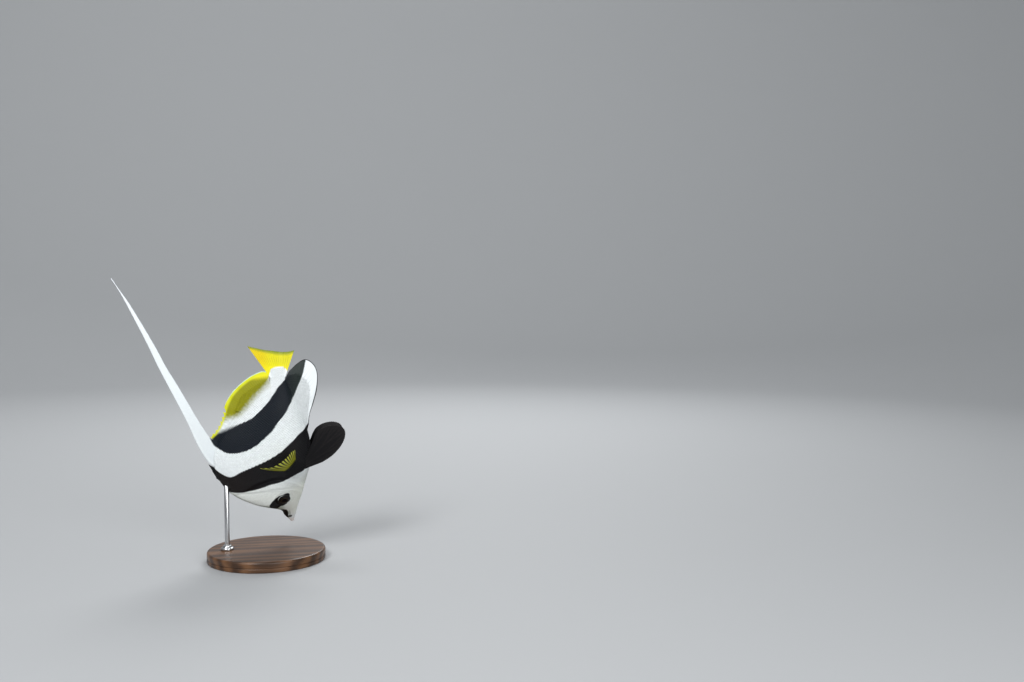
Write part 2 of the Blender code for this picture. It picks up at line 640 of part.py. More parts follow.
def make_flesh(skin):
    """Head, trunk and tail stalk: one body with its sockets cut, parted by two thin cuts."""
    rings = body_rings(0.0, HEAD_STATIONS, HEAD_RINGS)[:-1]
    rings += body_rings(HEAD_STATIONS, len(STATIONS) - 1.0, TRUNK_RINGS)
    body = rings_solid("body", rings, skin)
    orbits = []
    for side in (-1, 1):
        _, axes, centre = eye_axes(side)
        middle = centre - axes[0] * ORBIT_SUNK * MM
        orbits.append(ring_tube("orbit", middle, axes, ORBIT_RADIUS, ORBIT_RING, 20, 5))
    combine(body, lips() + orbits, "UNION")
    keep_largest(body)
    x, y, top = rod_centre()
    socket = disc("socket", ROD_RADIUS + GAP, 0.0, top + GAP, ROD_BEVEL, ROD_SIDES, (x, y))
    cutters = [mouth_slit(), socket]
    for side in (-1, 1):
        cutters += [eyeball("orb", side, GAP), gill_cover("cover", side, GAP)]
        for place in NOSTRILS:
            centre, outward, tail, up = surface_frame(*place, side)
            cutters.append(ellipsoid("pit", centre, (outward, tail, up), (NOSTRIL_RADIUS,) * 3, 6, 4))
    cutters += [wall(GILL_EDGE, GAP / 2, 24.0), wall(STALK_CUT, GAP / 2, 12.0)]
    combine(body, cutters, "DIFFERENCE")
    pieces = shells(body.data)[:3]
    heights = [np.mean([body.data.polygons[i].center.z for i in island]) for island in pieces]
    for name, order in zip(("head", "trunk", "tail_stalk"), np.argsort(heights)):
        piece = body.copy()
        piece.data = body.data.copy()
        piece.name = name
        bpy.context.scene.collection.objects.link(piece)
        keep_faces(piece, pieces[order])
    bpy.data.objects.remove(body)


def make_fins(white, yellow, black, amber):
    share, on_ray = ray_columns(NAPE_SPINES)
    fin_solid("dorsal_fin_nape", ridge_line(NAPE_ROOT, True, len(share)), along(NAPE_EDGE, len(share)),
              on_ray, 4, black, scallop=0.3)
    share, on_ray = ray_columns(DORSAL_SPINES)
    fin_solid("dorsal_fin_spiny", ridge_line(SPINY_ROOT, True, len(share)), along(SPINY_EDGE, len(share)),
              on_ray, 5, yellow, scallop=0.16)
    share, on_ray = ray_columns(DORSAL_RAYS)
    fin_solid("dorsal_fin_soft", ridge_line(SOFT_ROOT, True, len(share)), along(SOFT_EDGE, len(share)),
              on_ray, 6, yellow, scallop=0.02)
    share, on_ray = ray_columns(ANAL_SPINES + ANAL_RAYS)
    scallop = np.where(share < 0.16, 0.10, 0.02)
    fin_solid("anal_fin", ridge_line(ANAL_ROOT, False, len(share)), along(ANAL_EDGE, len(share)),
              on_ray, 6, white, scallop=scallop)
    share, on_ray = ray_columns(TAIL_RAYS)
    root = np.stack([np.full(len(share), BODY_LENGTH + GAP), np.linspace(7.4, -6.6, len(share))], -1)
    edge = along(TAIL_EDGE, len(share))
    fin_solid("tail_fin", root, edge, on_ray, 7, yellow, scallop=0.02, root_half=1.6)
    banner(white)
    for side, word in ((-1, "left"), (1, "right")):
        pelvic_fin("pelvic_fin_" + word, side, black)
        pectoral_fin("pectoral_fin_" + word, side, amber)


def make_head_pieces(skin, eye):
    for side, word in ((-1, "left"), (1, "right")):
        eyeball("eye_" + word, side, 0.0, eye)
        gill_cover("gill_cover_" + word, side, 0.0, skin)


def shade(made):
    made.data.shade_smooth()
    made.data.set_sharp_from_angle(angle=math.radians(35))


def main():
    for old in list(bpy.data.objects):
        bpy.data.objects.remove(old)
    skin = make_material("pied_skin", (0.80, 0.85, 0.86), 0.45)
    white = make_material("white_fin", (0.85, 0.89, 0.90), 0.45)
    yellow = make_material("yellow_fin", (0.78, 0.72, 0.04), 0.45)
    amber = make_material("pectoral_ray", (0.62, 0.60, 0.06), 0.45)
    black = make_material("black_fin", (0.012, 0.014, 0.018), 0.5)
    eye = make_material("eye_gloss", (0.01, 0.01, 0.012), 0.08)
    wood = make_material("stand_wood", (0.16, 0.09, 0.05), 0.4)
    steel = make_material("stand_steel", (0.62, 0.62, 0.60), 0.3, 1.0)
    make_flesh(skin)
    make_head_pieces(skin, eye)
    make_fins(white, yellow, black, amber)
    make_stand(wood, steel)
    for made in bpy.data.objects:
        shade(made)


main()
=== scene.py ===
import math
import bpy
import numpy as np
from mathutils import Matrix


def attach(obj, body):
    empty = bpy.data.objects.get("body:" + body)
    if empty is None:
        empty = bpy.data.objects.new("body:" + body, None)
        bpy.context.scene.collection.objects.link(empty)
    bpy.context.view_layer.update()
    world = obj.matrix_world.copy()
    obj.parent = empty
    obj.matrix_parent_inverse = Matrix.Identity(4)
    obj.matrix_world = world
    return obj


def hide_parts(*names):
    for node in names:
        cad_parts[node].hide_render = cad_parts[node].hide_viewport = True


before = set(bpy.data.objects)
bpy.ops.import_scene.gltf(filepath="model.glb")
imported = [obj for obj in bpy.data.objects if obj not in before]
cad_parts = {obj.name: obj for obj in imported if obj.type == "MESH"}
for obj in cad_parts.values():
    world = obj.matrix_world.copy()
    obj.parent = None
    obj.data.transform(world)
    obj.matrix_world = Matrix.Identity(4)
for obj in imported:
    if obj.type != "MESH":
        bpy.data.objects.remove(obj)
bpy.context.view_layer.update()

# Everything is worked out in the fish's own straight frame in millimetres: s from the snout to the
# tail, r to the fish's right, h up its back. The pose then bends that frame into the world.
mm = 0.001
root = "root"

pose = {
    "headTurn": 26.0,           # degrees that the head turns away, to the fish's right
    "tailTurn": 14.0,
    "turnSpan": 160.0,          # length over which the two turns are shared out
    "headEase": (0.25, 0.45),   # where a turn starts in that span, and how much of it the turn takes
    "tailEase": (0.7, 0.4),
    "axisLean": 4.9,            # degrees that the body's axis leans from upright
    "snout": (27.0, 29.0, 34.0),
}
view = {
    "lens": 38.6,
    "place": (-0.0376, -1.1524, 0.2849),
    "down": 3.0,                # degrees below level
    "aside": 14.6,
}

# Body sections: back (s, h), belly (s, h), half width, height share of the widest place,
# fullness above and below it.
stations = np.array((
    (0.0, 1.8, 0.3, -3.2, 1.9, 0.50, 0.50, 0.50),
    (7.5, 7.0, 7.0, -5.2, 3.3, 0.48, 0.50, 0.50),
    (14.0, 9.6, 14.0, -6.8, 4.8, 0.46, 0.50, 0.50),
    (18.0, 15.5, 20.0, -8.6, 6.5, 0.45, 0.50, 0.50),
    (21.0, 24.0, 26.0, -10.6, 8.2, 0.43, 0.52, 0.50),
    (26.2, 36.0, 33.0, -12.8, 9.9, 0.40, 0.55, 0.50),
    (34.0, 48.3, 42.0, -15.4, 11.6, 0.38, 0.60, 0.50),
    (43.5, 58.6, 52.0, -18.6, 12.9, 0.37, 0.66, 0.50),
    (56.0, 66.6, 62.0, -21.7, 13.6, 0.38, 0.72, 0.50),
    (70.0, 71.6, 73.0, -24.2, 13.8, 0.39, 0.78, 0.52),
    (86.0, 72.6, 84.0, -25.6, 13.3, 0.40, 0.80, 0.55),
    (101.0, 67.6, 97.0, -25.2, 12.2, 0.41, 0.80, 0.60),
    (114.0, 56.8, 110.0, -22.6, 10.7, 0.42, 0.80, 0.68),
    (127.0, 43.4, 123.0, -18.6, 8.9, 0.43, 0.78, 0.72),
    (139.0, 29.8, 136.0, -14.4, 7.0, 0.45, 0.74, 0.72),
    (149.5, 17.6, 148.0, -10.6, 5.2, 0.47, 0.66, 0.66),
    (157.5, 10.2, 157.0, -8.0, 3.7, 0.50, 0.56, 0.56),
    (165.0, 7.8, 165.0, -7.0, 2.3, 0.50, 0.50, 0.50),
    (170.5, 8.6, 170.5, -7.6, 1.3, 0.50, 0.50, 0.50),
    (175.5, 9.4, 175.5, -8.2, 0.3, 0.50, 0.50, 0.50),
))
lastStation = len(stations) - 1.0
ridges = {"head": 0.6, "trunk": 1.0, "from": 6}     # half width of the ridge, and the station it widens from


# Curves and the body's surface

def ease(t):
    # 3t² - 2t³ between 0 and 1
    t = np.clip(t, 0, 1)
    return t * t * (3 - 2 * t)


def ramp(value, start, end):
    # eases from 0 at start to 1 at end, either way round
    return ease((np.asarray(value, float) - start) / (end - start))


def spline(points, t):
    # cubic through rows of numbers: each row's slope is half the step between its neighbours
    rows = np.asarray(points, float)
    last = len(rows) - 1
    t = np.clip(np.asarray(t, float), 0.0, last)
    i = np.minimum(t.astype(int), last - 1)
    f = (t - i)[..., None]
    slope = np.gradient(rows, axis=0)
    p, q, m, n = rows[i], rows[i + 1], slope[i], slope[i + 1]
    return (p * (2 * f**3 - 3 * f**2 + 1) + q * (3 * f**2 - 2 * f**3)
            + m * (f**3 - 2 * f**2 + f) + n * (f**3 - f**2))


def along(points, share):
    # places on the spline at shares of its length
    fine = spline(points, np.linspace(0, len(points) - 1, 600))
    run = np.concatenate([[0], np.cumsum(np.linalg.norm(np.diff(fine, axis=0), axis=1))])
    want = np.asarray(share, float) * run[-1]
    return np.stack([np.interp(want, run, fine[:, k]) for k in range(fine.shape[1])], -1)


def section(u, v):
    # place on the section line and half width: a ridge, plus (1 - x²) to a power above and below
    # the widest place, with the ridge itself rounded off by a quarter circle at both ends
    row = spline(stations, u)
    back, belly = row[..., 0:2], row[..., 2:4]
    v = np.asarray(v, float)
    place = belly + (back - belly) * v[..., None]
    width, widest, above, below = (row[..., k] for k in range(4, 8))
    high = np.clip((v - widest) / (1 - widest), 0, 1)
    low = np.clip((widest - v) / widest, 0, 1)
    shape = np.where(v > widest, np.maximum(1 - high**2, 0) ** above, np.maximum(1 - low**2, 0) ** below)
    widened = (ridges["trunk"] - ridges["head"]) * np.clip((u - ridges["from"]) / 2, 0, 1)
    ridge = np.minimum(ridges["head"] + widened, width)
    fromEnd = np.minimum(v, 1 - v) * np.linalg.norm(back - belly, axis=-1)
    rounded = np.sqrt(np.clip(1 - (1 - np.clip(fromEnd / ridge, 0, 1)) ** 2, 0, 1))
    return place, ridge * rounded + (width - ridge) * shape


def findSection(s, h):
    # station and height share of a place in the side view, by halving the range of stations
    s, h = np.broadcast_arrays(np.asarray(s, float), np.asarray(h, float))
    low, high = np.zeros(s.shape), np.full(s.shape, lastStation)
    for _ in range(30):
        middle = (low + high) / 2
        row = spline(stations, middle)
        rise = row[..., 0:2] - row[..., 2:4]
        reach = np.stack([s, h], -1) - row[..., 2:4]
        ahead = rise[..., 0] * reach[..., 1] - rise[..., 1] * reach[..., 0] > 0
        high = np.where(ahead, middle, high)
        low = np.where(ahead, low, middle)
    share = (rise * reach).sum(-1) / (rise * rise).sum(-1)
    return low, np.clip(share, 0, 1)


def flank(s, h):
    # half width of the body at a place in the side view
    return section(*findSection(s, h))[1]


def heading(s):
    # direction of the midline at s: the head's turn eases out to straight, then the tail's eases in
    share = np.asarray(s, float) / pose["turnSpan"]
    (headStart, headRun), (tailStart, tailRun) = pose["headEase"], pose["tailEase"]
    return (-math.radians(pose["headTurn"]) * (1 - ease((share - headStart) / headRun))
            + math.radians(pose["tailTurn"]) * ease((share - tailStart) / tailRun))


midS = np.linspace(-40.0, 320.0, 3601)
midAlong = np.cumsum(np.cos(heading(midS))) * (midS[1] - midS[0])
midAcross = np.cumsum(np.sin(heading(midS))) * (midS[1] - midS[0])
midAlong -= np.interp(0.0, midS, midAlong)
midAcross -= np.interp(0.0, midS, midAcross)


def posed(place):
    # bends the straight frame along the midline, leans it and gives metres in the world
    s, r, h = place[..., 0], place[..., 1], place[..., 2]
    turn = heading(s)
    tailward = np.interp(s, midS, midAlong) - r * np.sin(turn)
    across = np.interp(s, midS, midAcross) + r * np.cos(turn)
    lean = math.radians(pose["axisLean"])
    x = pose["snout"][0] - tailward * math.sin(lean) - h * math.cos(lean)
    y = pose["snout"][1] + across
    z = pose["snout"][2] + tailward * math.cos(lean) - h * math.sin(lean)
    return np.stack([x, y, z], -1) * mm


# Markings, as distances in the side view: a band's edge is a curve s(h), a patch is a closed outline

marks = {
    "firstFront": ((47.9, 66.0), (48.0, 51.7), (50.5, 39.1), (54.2, 26.0), (56.5, 18.8), (57.8, 9.9),
                   (61.0, -1.3), (63.4, -8.9), (65.6, -16.6), (73.0, -21.0), (84.0, -27.0)),
    "firstRear": ((80.0, 76.0), (76.5, 73.0), (70.3, 65.5), (67.1, 57.0), (72.2, 46.0), (76.8, 33.2),
                  (81.8, 18.5), (88.8, 3.4), (95.8, -6.4), (103.0, -16.4), (107.3, -21.6), (116.0, -28.0)),
    "secondFront": ((109.0, 74.5), (100.8, 71.0), (96.0, 66.4), (91.3, 58.1), (90.6, 47.6), (93.5, 35.0),
                    (99.6, 23.7), (108.7, 12.1), (117.6, 4.0), (126.3, -4.2), (136.2, -10.8),
                    (149.2, -17.7), (162.3, -24.6), (174.1, -28.6), (190.0, -33.0)),
    "secondRear": ((111.0, 72.0), (112.3, 68.2), (114.6, 57.5), (118.2, 44.8), (122.8, 31.9),
                   (130.8, 20.4), (140.3, 10.5), (150.2, 2.3), (156.0, -3.8), (163.0, -7.2), (200.0, -12.0)),
    "yellowFront": ((118.0, 74.0), (122.0, 62.0), (125.3, 54.6), (127.7, 43.8), (135.7, 34.1),
                    (145.5, 24.2), (155.2, 13.4), (161.5, 10.0), (166.0, 9.0), (168.5, 8.1), (171.0, 6.5),
                    (172.4, 2.9), (172.8, -1.8), (172.2, -5.8), (170.6, -8.1), (200.0, -10.5),
                    (260.0, -14.0)),
    "mask": ((43.4, 2.2), (42.6, 6.8), (41.2, 11.2), (38.0, 15.0), (32.2, 19.4), (26.0, 21.6),
             (17.0, 18.8), (20.5, 14.6), (25.0, 10.6), (26.2, 6.8), (30.0, 2.9), (36.3, 0.6), (41.0, 0.3)),
    "saddle": ((19.0, 8.4), (17.0, 11.2), (13.4, 13.0), (7.0, 10.4), (3.4, 5.4), (6.4, 3.3), (12.0, 2.9),
               (17.2, 4.2)),
    "mouthLine": ((3.8, 5.6), (4.8, 2.6), (5.4, -0.2), (7.8, -0.8), (8.2, 1.4), (7.0, 3.6), (6.2, 5.6)),
}


def edgeDistance(name, s, h):
    # (s - f(h)) / sqrt(1 + f'(h)²): distance behind a band's edge f, measured square to it
    fine = spline(marks[name], np.linspace(0, len(marks[name]) - 1, 400))
    order = np.argsort(fine[:, 1])
    fh, fs = fine[order, 1], fine[order, 0]
    step = 0.6
    slope = (np.interp(h + step, fh, fs) - np.interp(h - step, fh, fs)) / (2 * step)
    return (s - np.interp(h, fh, fs)) / np.sqrt(1 + slope**2)


def patchDistance(name, s, h):
    # distance inside a closed outline: nearest outline point, signed by the winding of its segments
    ring = np.array(marks[name] + marks[name][:2])
    fine = spline(np.vstack([ring[-3], ring]), np.linspace(1, len(marks[name]) + 1, 161))[:-1]
    inside = np.full(s.shape, -20.0)
    centre, reach = fine.mean(0), 22.0
    near = np.hypot(s - centre[0], h - centre[1]) < reach
    p = np.stack([s[near], h[near]], -1)
    gap = np.full(len(p), 1e9)
    turns = np.zeros(len(p))
    for a, b in zip(fine, np.roll(fine, -1, axis=0)):
        t = np.clip(((p - a) @ (b - a)) / ((b - a) @ (b - a)), 0, 1)
        gap = np.minimum(gap, np.linalg.norm(p - a - t[:, None] * (b - a), axis=1))
        crosses = (a[1] <= p[:, 1]) != (b[1] <= p[:, 1])
        side = (b[0] - a[0]) * (p[:, 1] - a[1]) / (b[1] - a[1] + 1e-12) + a[0] > p[:, 0]
        turns += crosses & side
    inside[near] = np.where(turns % 2 == 1, gap, -gap)
    return inside


def markAttributes(place):
    # what the finishes read: where a point is on the fish, and how far inside each marking. tints holds
    # the yellow's edge, the distance below the forehead's line and the dark line by the mouth
    s, h = place[:, 0], place[:, 2]
    first = np.minimum(edgeDistance("firstFront", s, h), -edgeDistance("firstRear", s, h))
    second = np.minimum(edgeDistance("secondFront", s, h), -edgeDistance("secondRear", s, h))
    patches = np.maximum(patchDistance("mask", s, h), patchDistance("saddle", s, h))
    yellow = edgeDistance("yellowFront", s, h)
    below = np.full(len(s), 40.0)
    head = (s < 62) & (h > -10)
    u, v = findSection(s[head], h[head])
    row = spline(stations, u)
    below[head] = (1 - v) * np.linalg.norm(row[:, 0:2] - row[:, 2:4], axis=1)
    return {"fishPlace": place, "bands": np.stack([first, second, patches], -1),
            "tints": np.stack([yellow, below, patchDistance("mouthLine", s, h)], -1)}


# Meshes from arrays

def gridQuads(rows, columns, closed=False, start=0):
    # the four corners of each cell of a grid; closed joins the last column to the first
    i, j = np.meshgrid(np.arange(rows - 1), np.arange(columns if closed else columns - 1), indexing="ij")
    k = (j + 1) % columns
    return (np.stack([i * columns + j, i * columns + k, (i + 1) * columns + k, (i + 1) * columns + j], -1)
            .reshape(-1, 4) + start)


def gridRim(rows, columns):
    # indices of a grid's points all round its edge
    return np.concatenate([np.arange(columns), np.arange(1, rows) * columns + columns - 1,
                           (rows - 1) * columns + np.arange(columns - 2, -1, -1),
                           np.arange(rows - 2, 0, -1) * columns])


def poleFans(size, columns):
    # triangles from the first and last ring of a closed grid to the two points that follow its own
    j = np.arange(columns)
    k = (j + 1) % columns
    return np.vstack([np.stack([np.full(columns, size), k, j], -1),
                      np.stack([np.full(columns, size + 1), size - columns + j, size - columns + k], -1)])


def volumeOf(points, faces):
    # six times the signed volume under all faces, each as a fan from its first corner
    total = 0.0
    for group in faces:
        for k in range(1, group.shape[1] - 1):
            a, b, c = points[group[:, 0]], points[group[:, k]], points[group[:, k + 1]]
            total += np.einsum("ij,ij->i", a, np.cross(b, c)).sum()
    return total


def makePiece(name, points, faces, finish, replaced=(), attributes=None, uv=None):
    faces = [group for group in faces if len(group)]
    if volumeOf(points - points.mean(0), faces) < 0:
        faces = [group[:, ::-1] for group in faces]
    mesh = bpy.data.meshes.new(name)
    corners = np.concatenate([group.ravel() for group in faces]).astype(np.int32)
    sizes = np.concatenate([np.full(len(group), group.shape[1]) for group in faces]).astype(np.int32)
    mesh.vertices.add(len(points))
    mesh.vertices.foreach_set("co", points.astype(np.float32).ravel())
    mesh.loops.add(len(corners))
    mesh.loops.foreach_set("vertex_index", corners)
    mesh.polygons.add(len(sizes))
    mesh.polygons.foreach_set("loop_start", np.concatenate([[0], np.cumsum(sizes)[:-1]]).astype(np.int32))
    mesh.polygons.foreach_set("use_smooth", np.ones(len(sizes), bool))
    mesh.update(calc_edges=True)
    for key, values in (attributes or {}).items():
        layer = mesh.attributes.new(key, "FLOAT_VECTOR", "POINT")
        layer.data.foreach_set("vector", values.astype(np.float32).ravel())
    if uv is not None:
        layer = mesh.uv_layers.new(name="OFBake")
        layer.data.foreach_set("uv", uv[corners].astype(np.float32).ravel())
    mesh.materials.append(finish)
    piece = bpy.data.objects.new(name, mesh)
    bpy.context.scene.collection.objects.link(piece)
    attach(piece, root)
    if replaced:
        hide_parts(*replaced)
    return piece


def sheetFaces(rows, columns):
    # a thin closed solid between two grids: both faces, then the rim all round
    size = rows * columns
    front, rim = gridQuads(rows, columns), gridRim(rows, columns)
    after = np.roll(rim, -1)
    return [front, front[:, ::-1] + size, np.stack([rim, rim + size, after + size, after], -1)]


# Shader maths: a value adds its own Math nodes when it is calculated with

class Value:
    def __init__(self, finish, socket):
        self.finish, self.socket = finish, socket

    def maths(self, operation, other=None, swap=False):
        terms = [self] if other is None else [other, self] if swap else [self, other]
        return self.finish.node("ShaderNodeMath", {"operation": operation}, dict(enumerate(terms)))

    def __add__(self, other):
        return self.maths("ADD", other)

    def __sub__(self, other):
        return self.maths("SUBTRACT", other)

    def __mul__(self, other):
        return self.maths("MULTIPLY", other)

    def __truediv__(self, other):
        return self.maths("DIVIDE", other)

    def __rsub__(self, other):
        return self.maths("SUBTRACT", other, swap=True)

    def __pow__(self, other):
        return self.maths("POWER", other)

    __radd__ = __add__
    __rmul__ = __mul__

    def sine(self):
        return self.maths("SINE")

    def __abs__(self):
        return self.maths("ABSOLUTE")

    def smooth(self, start, end):
        return self.finish.node("ShaderNodeMapRange", {"interpolation_type": "SMOOTHSTEP"},
                                {0: self, 1: start, 2: end, 3: 0.0, 4: 1.0})


class Finish:
    # a Principled material whose nodes are made by expressions
    def __init__(self, name, **constants):
        self.material = bpy.data.materials.new(name)
        self.material.use_nodes = True
        self.tree = self.material.node_tree
        self.shader = self.tree.nodes["Principled BSDF"]
        for key, value in constants.items():
            self.shader.inputs[key.replace("_", " ")].default_value = value

    def node(self, kind, settings=None, inputs=None, out=0):
        made = self.tree.nodes.new(kind)
        for key, value in (settings or {}).items():
            if key == "stops":
                for k, (at, colour) in enumerate(value):
                    stop = made.color_ramp.elements[k] if k < 2 else made.color_ramp.elements.new(at)
                    stop.position, stop.color = at, (*colour, 1.0)
            else:
                setattr(made, key, value)
        for key, value in (inputs or {}).items():
            self.feed(made.inputs[key], value)
        return Value(self, made.outputs[out])

    def feed(self, socket, value):
        if isinstance(value, Value):
            self.tree.links.new(value.socket, socket)
        elif isinstance(value, (tuple, list)):
            opaque = len(socket.default_value) == 4 and len(value) == 3
            socket.default_value = (*value, 1.0) if opaque else value
        else:
            socket.default_value = value

    def blend(self, factor, first, second):
        return self.node("ShaderNodeMix", {"data_type": "RGBA"}, {0: factor, 6: first, 7: second}, out=2)

    def attribute(self, name):
        return self.node("ShaderNodeAttribute", {"attribute_name": name}, out=1)

    def split(self, name):
        return [self.node("ShaderNodeSeparateXYZ", inputs={0: self.attribute(name)}, out=k) for k in range(3)]

    def noise(self, vector, scale, detail=3.0, roughness=0.5):
        return self.node("ShaderNodeTexNoise", inputs={"Vector": vector, "Scale": scale, "Detail": detail,
                                                       "Roughness": roughness})

    def objectPlace(self):
        return self.node("ShaderNodeTexCoord", out=3)

    def bump(self, height, strength, distance):
        return self.node("ShaderNodeBump",
                         inputs={"Strength": strength, "Distance": distance, "Height": height})

    def set(self, **inputs):
        for key, value in inputs.items():
            self.feed(self.shader.inputs[key.replace("_", " ")], value)
        return self.material


colours = {
    "white": (0.70, 0.74, 0.75),
    "cream": (0.69, 0.70, 0.57),
    "whiteShade": (0.42, 0.48, 0.52),
    "jet": (0.0035, 0.0035, 0.0045),
    "brownBlack": (0.0065, 0.0045, 0.0045),
    "blueBlack": (0.0045, 0.0075, 0.0125),
    "greyGreen": (0.016, 0.024, 0.022),
    "yellow": (0.70, 0.64, 0.004),
    "olive": (0.235, 0.235, 0.003),
    "gold": (0.76, 0.50, 0.004),
    "paleRim": (0.42, 0.62, 0.58),
    "amber": (0.15, 0.15, 0.004),
    "duskAndPaintedShade": (0.19, 0.215, 0.15),        # along the forehead, partly as painted shade, and between eye and snout
    "smudge": (0.20, 0.24, 0.19),       # beside the snout's dark patch
    "lips": (0.82, 0.77, 0.75),
    # painted shade under the head, tinted yellow-green
    "belly": (0.50, 0.52, 0.30),
    "mouth": (0.016, 0.017, 0.018),
    "finEdge": (0.60, 0.62, 0.012),
    "webYellow": (0.25, 0.25, 0.006),
    "tailEdge": (0.15, 0.21, 0.018),
    "bannerShade": (0.52, 0.58, 0.62),
    "bannerTip": (0.70, 0.66, 0.70),
    "bannerEdge": (0.40, 0.46, 0.52),
    "pelvicRay": (0.013, 0.011, 0.011),
    "pectoralRay": (0.36, 0.37, 0.005),
    "pectoralTip": (0.50, 0.52, 0.06),
    "pectoralWeb": (0.045, 0.045, 0.008),
    "iris": (0.0035, 0.0028, 0.0025),
    "irisFleck": (0.011, 0.0075, 0.005),
    # painted highlight on the eye's rim
    "eyeRimHighlight": (0.60, 0.64, 0.60),
    "irisRing": (0.05, 0.031, 0.012),
    "pupil": (0.002, 0.002, 0.003),
    "eyeRim": (0.008, 0.008, 0.009),
}


def fishColour(finish, tone, shade):
    # white body; two dark bands, mask and snout patch; yellow behind the diffuse edge. tone varies a
    # scale or patch by a little. shade is painted shade on the white, at each scale's root under the
    # scale in front and in the grooves between a fin's rays; on the bare skin it carries the pores' mottle
    s, _, h = finish.split("fishPlace")
    first, second, patch = finish.split("bands")
    yellow, below, mouthLine = finish.split("tints")
    place = finish.attribute("fishPlace")
    ragged = finish.noise(place, 0.55, 4.0) - 0.5
    fine = finish.noise(place, 0.12, 2.0) - 0.5
    # cream over the face, dusk and painted shade along the forehead, brow before the eye, smudge beside the
    # snout's patch
    cream = (66.0 - s).smooth(0, 26) * (s - 3.0).smooth(0, 14) * ((12.0 - h).smooth(0, 30) * 0.5 + 0.5)
    # painted shade where the forehead curves away: darkest within 6.5 mm of its line, over a dusky tint
    duskAndPaintedShade = (56.0 - s).smooth(0, 16) * (6.5 - below).smooth(0.0, 6.0) * (s - 4.0).smooth(0.0, 10.0)
    brow = (s - 16.0).smooth(0, 4) * (29.0 - s).smooth(0, 4) * (h - 5.0).smooth(0, 5)
    smudge = (1.0 - ((s - 11.5) / 6.0) ** 2.0 - ((h - 1.6) / 1.7) ** 2.0).smooth(0.0, 0.9)
    colour = finish.blend(cream * 0.6, colours["white"], colours["cream"])
    colour = finish.blend((duskAndPaintedShade * 0.7 + brow * 0.85) * (fine + 0.8), colour, colours["duskAndPaintedShade"])
    colour = finish.blend(smudge * 0.55, colour, colours["smudge"])
    lips = (4.4 - s).smooth(0.0, 2.2)
    colour = finish.blend(lips * 0.7, colour, colours["lips"])
    # painted shade on the white: scale roots and grooves between fin rays; on bare skin, the pores' mottle
    colour = finish.blend(shade, colour, colours["whiteShade"])
    # painted shade on the underside of the head, yellow-green, fading out by s = 70
    belly = (-12.0 - h).smooth(0, 14) * (70.0 - s).smooth(0, 20) * 0.35
    colour = finish.blend(belly, colour, colours["belly"])
    soft = 1.0 - (s - 156.0).smooth(0.0, 9.0) * 0.8
    gold = (yellow / soft + ragged * 5.0).smooth(-4.5, 4.0)
    leaf = finish.blend((s - 160.0).smooth(0, 6), colours["olive"], colours["yellow"])
    colour = finish.blend(gold, colour, leaf)
    darkFirst = finish.blend((h - 18.0).smooth(0, 45), colours["jet"], colours["brownBlack"])
    darkSecond = finish.blend((-4.0 - h).smooth(0, 16), colours["blueBlack"], colours["greyGreen"])
    soft = 0.6 + (h - 40.0).smooth(0.0, 20.0) * (s - 98.0).smooth(0.0, 10.0) * 3.0
    colour = finish.blend(((second + ragged * 0.8) / soft).smooth(-0.9, 0.9), colour, darkSecond)
    colour = finish.blend((first + ragged * 0.4).smooth(-0.5, 0.5), colour, darkFirst)
    colour = finish.blend((patch + ragged * 1.0).smooth(-0.5, 0.5), colour, colours["jet"])
    colour = finish.blend((mouthLine + fine * 0.6).smooth(-0.35, 0.35) * 0.92, colour, colours["mouth"])
    return finish.node("ShaderNodeHueSaturation", inputs={"Value": 1.0 + tone, "Color": colour})


# Relief of the skin in millimetres: gill cover, cheek bone, orbit, nostrils, mouth and lips

face = {
    "eye": (35.2, 6.2),
    "eyeRadius": 7.6,
    "eyeHalfDepth": 4.2,
    "eyeProud": 1.7,
    "cornea": 0.35,             # how much fuller than an ellipsoid the front of the eye is
    "orbit": 6.75,
    "orbitRim": 0.42,
    "orbitDepth": 3.6,
    "nostrils": ((19.8, 8.6), (22.4, 10.4)),
    "nostrilRim": 0.16,
    "nostrilDepth": 0.75,
    "mouthHeight": -1.35,
    "mouthCorner": 4.6,
    "lipRise": 0.26,
    "slitDepth": 0.62,
    "coverRise": 0.42,          # at the cover's edge, with a groove behind it
    "coverGroove": 0.22,
    "cheekRise": 0.24,
    "cheekGroove": 0.14,
    "coverEdge": ((33.0, -27.0), (42.0, -16.5), (53.0, -8.0), (59.0, 3.0), (60.5, 14.0), (58.0, 26.0),
                  (53.5, 37.0), (48.0, 47.0), (41.5, 56.0), (32.0, 68.0)),
    "cheekEdge": ((30.0, -18.0), (36.0, -13.0), (43.0, -9.0), (47.0, -2.0), (48.4, 8.0), (48.6, 22.0),
                  (47.0, 40.0)),
}
marks["coverEdge"], marks["cheekEdge"] = face["coverEdge"], face["cheekEdge"]
eyeSpot = np.array([face["eye"][0], float(flank(*face["eye"])), face["eye"][1]])


def sunkRim(distance, radius, rim, depth):
    # a raised ring at a radius with the middle sunk inside it
    raised = rim * np.exp(-((distance - radius) / 0.6) ** 2)
    return raised - depth * ramp(distance, radius - 0.35, radius - 1.9)


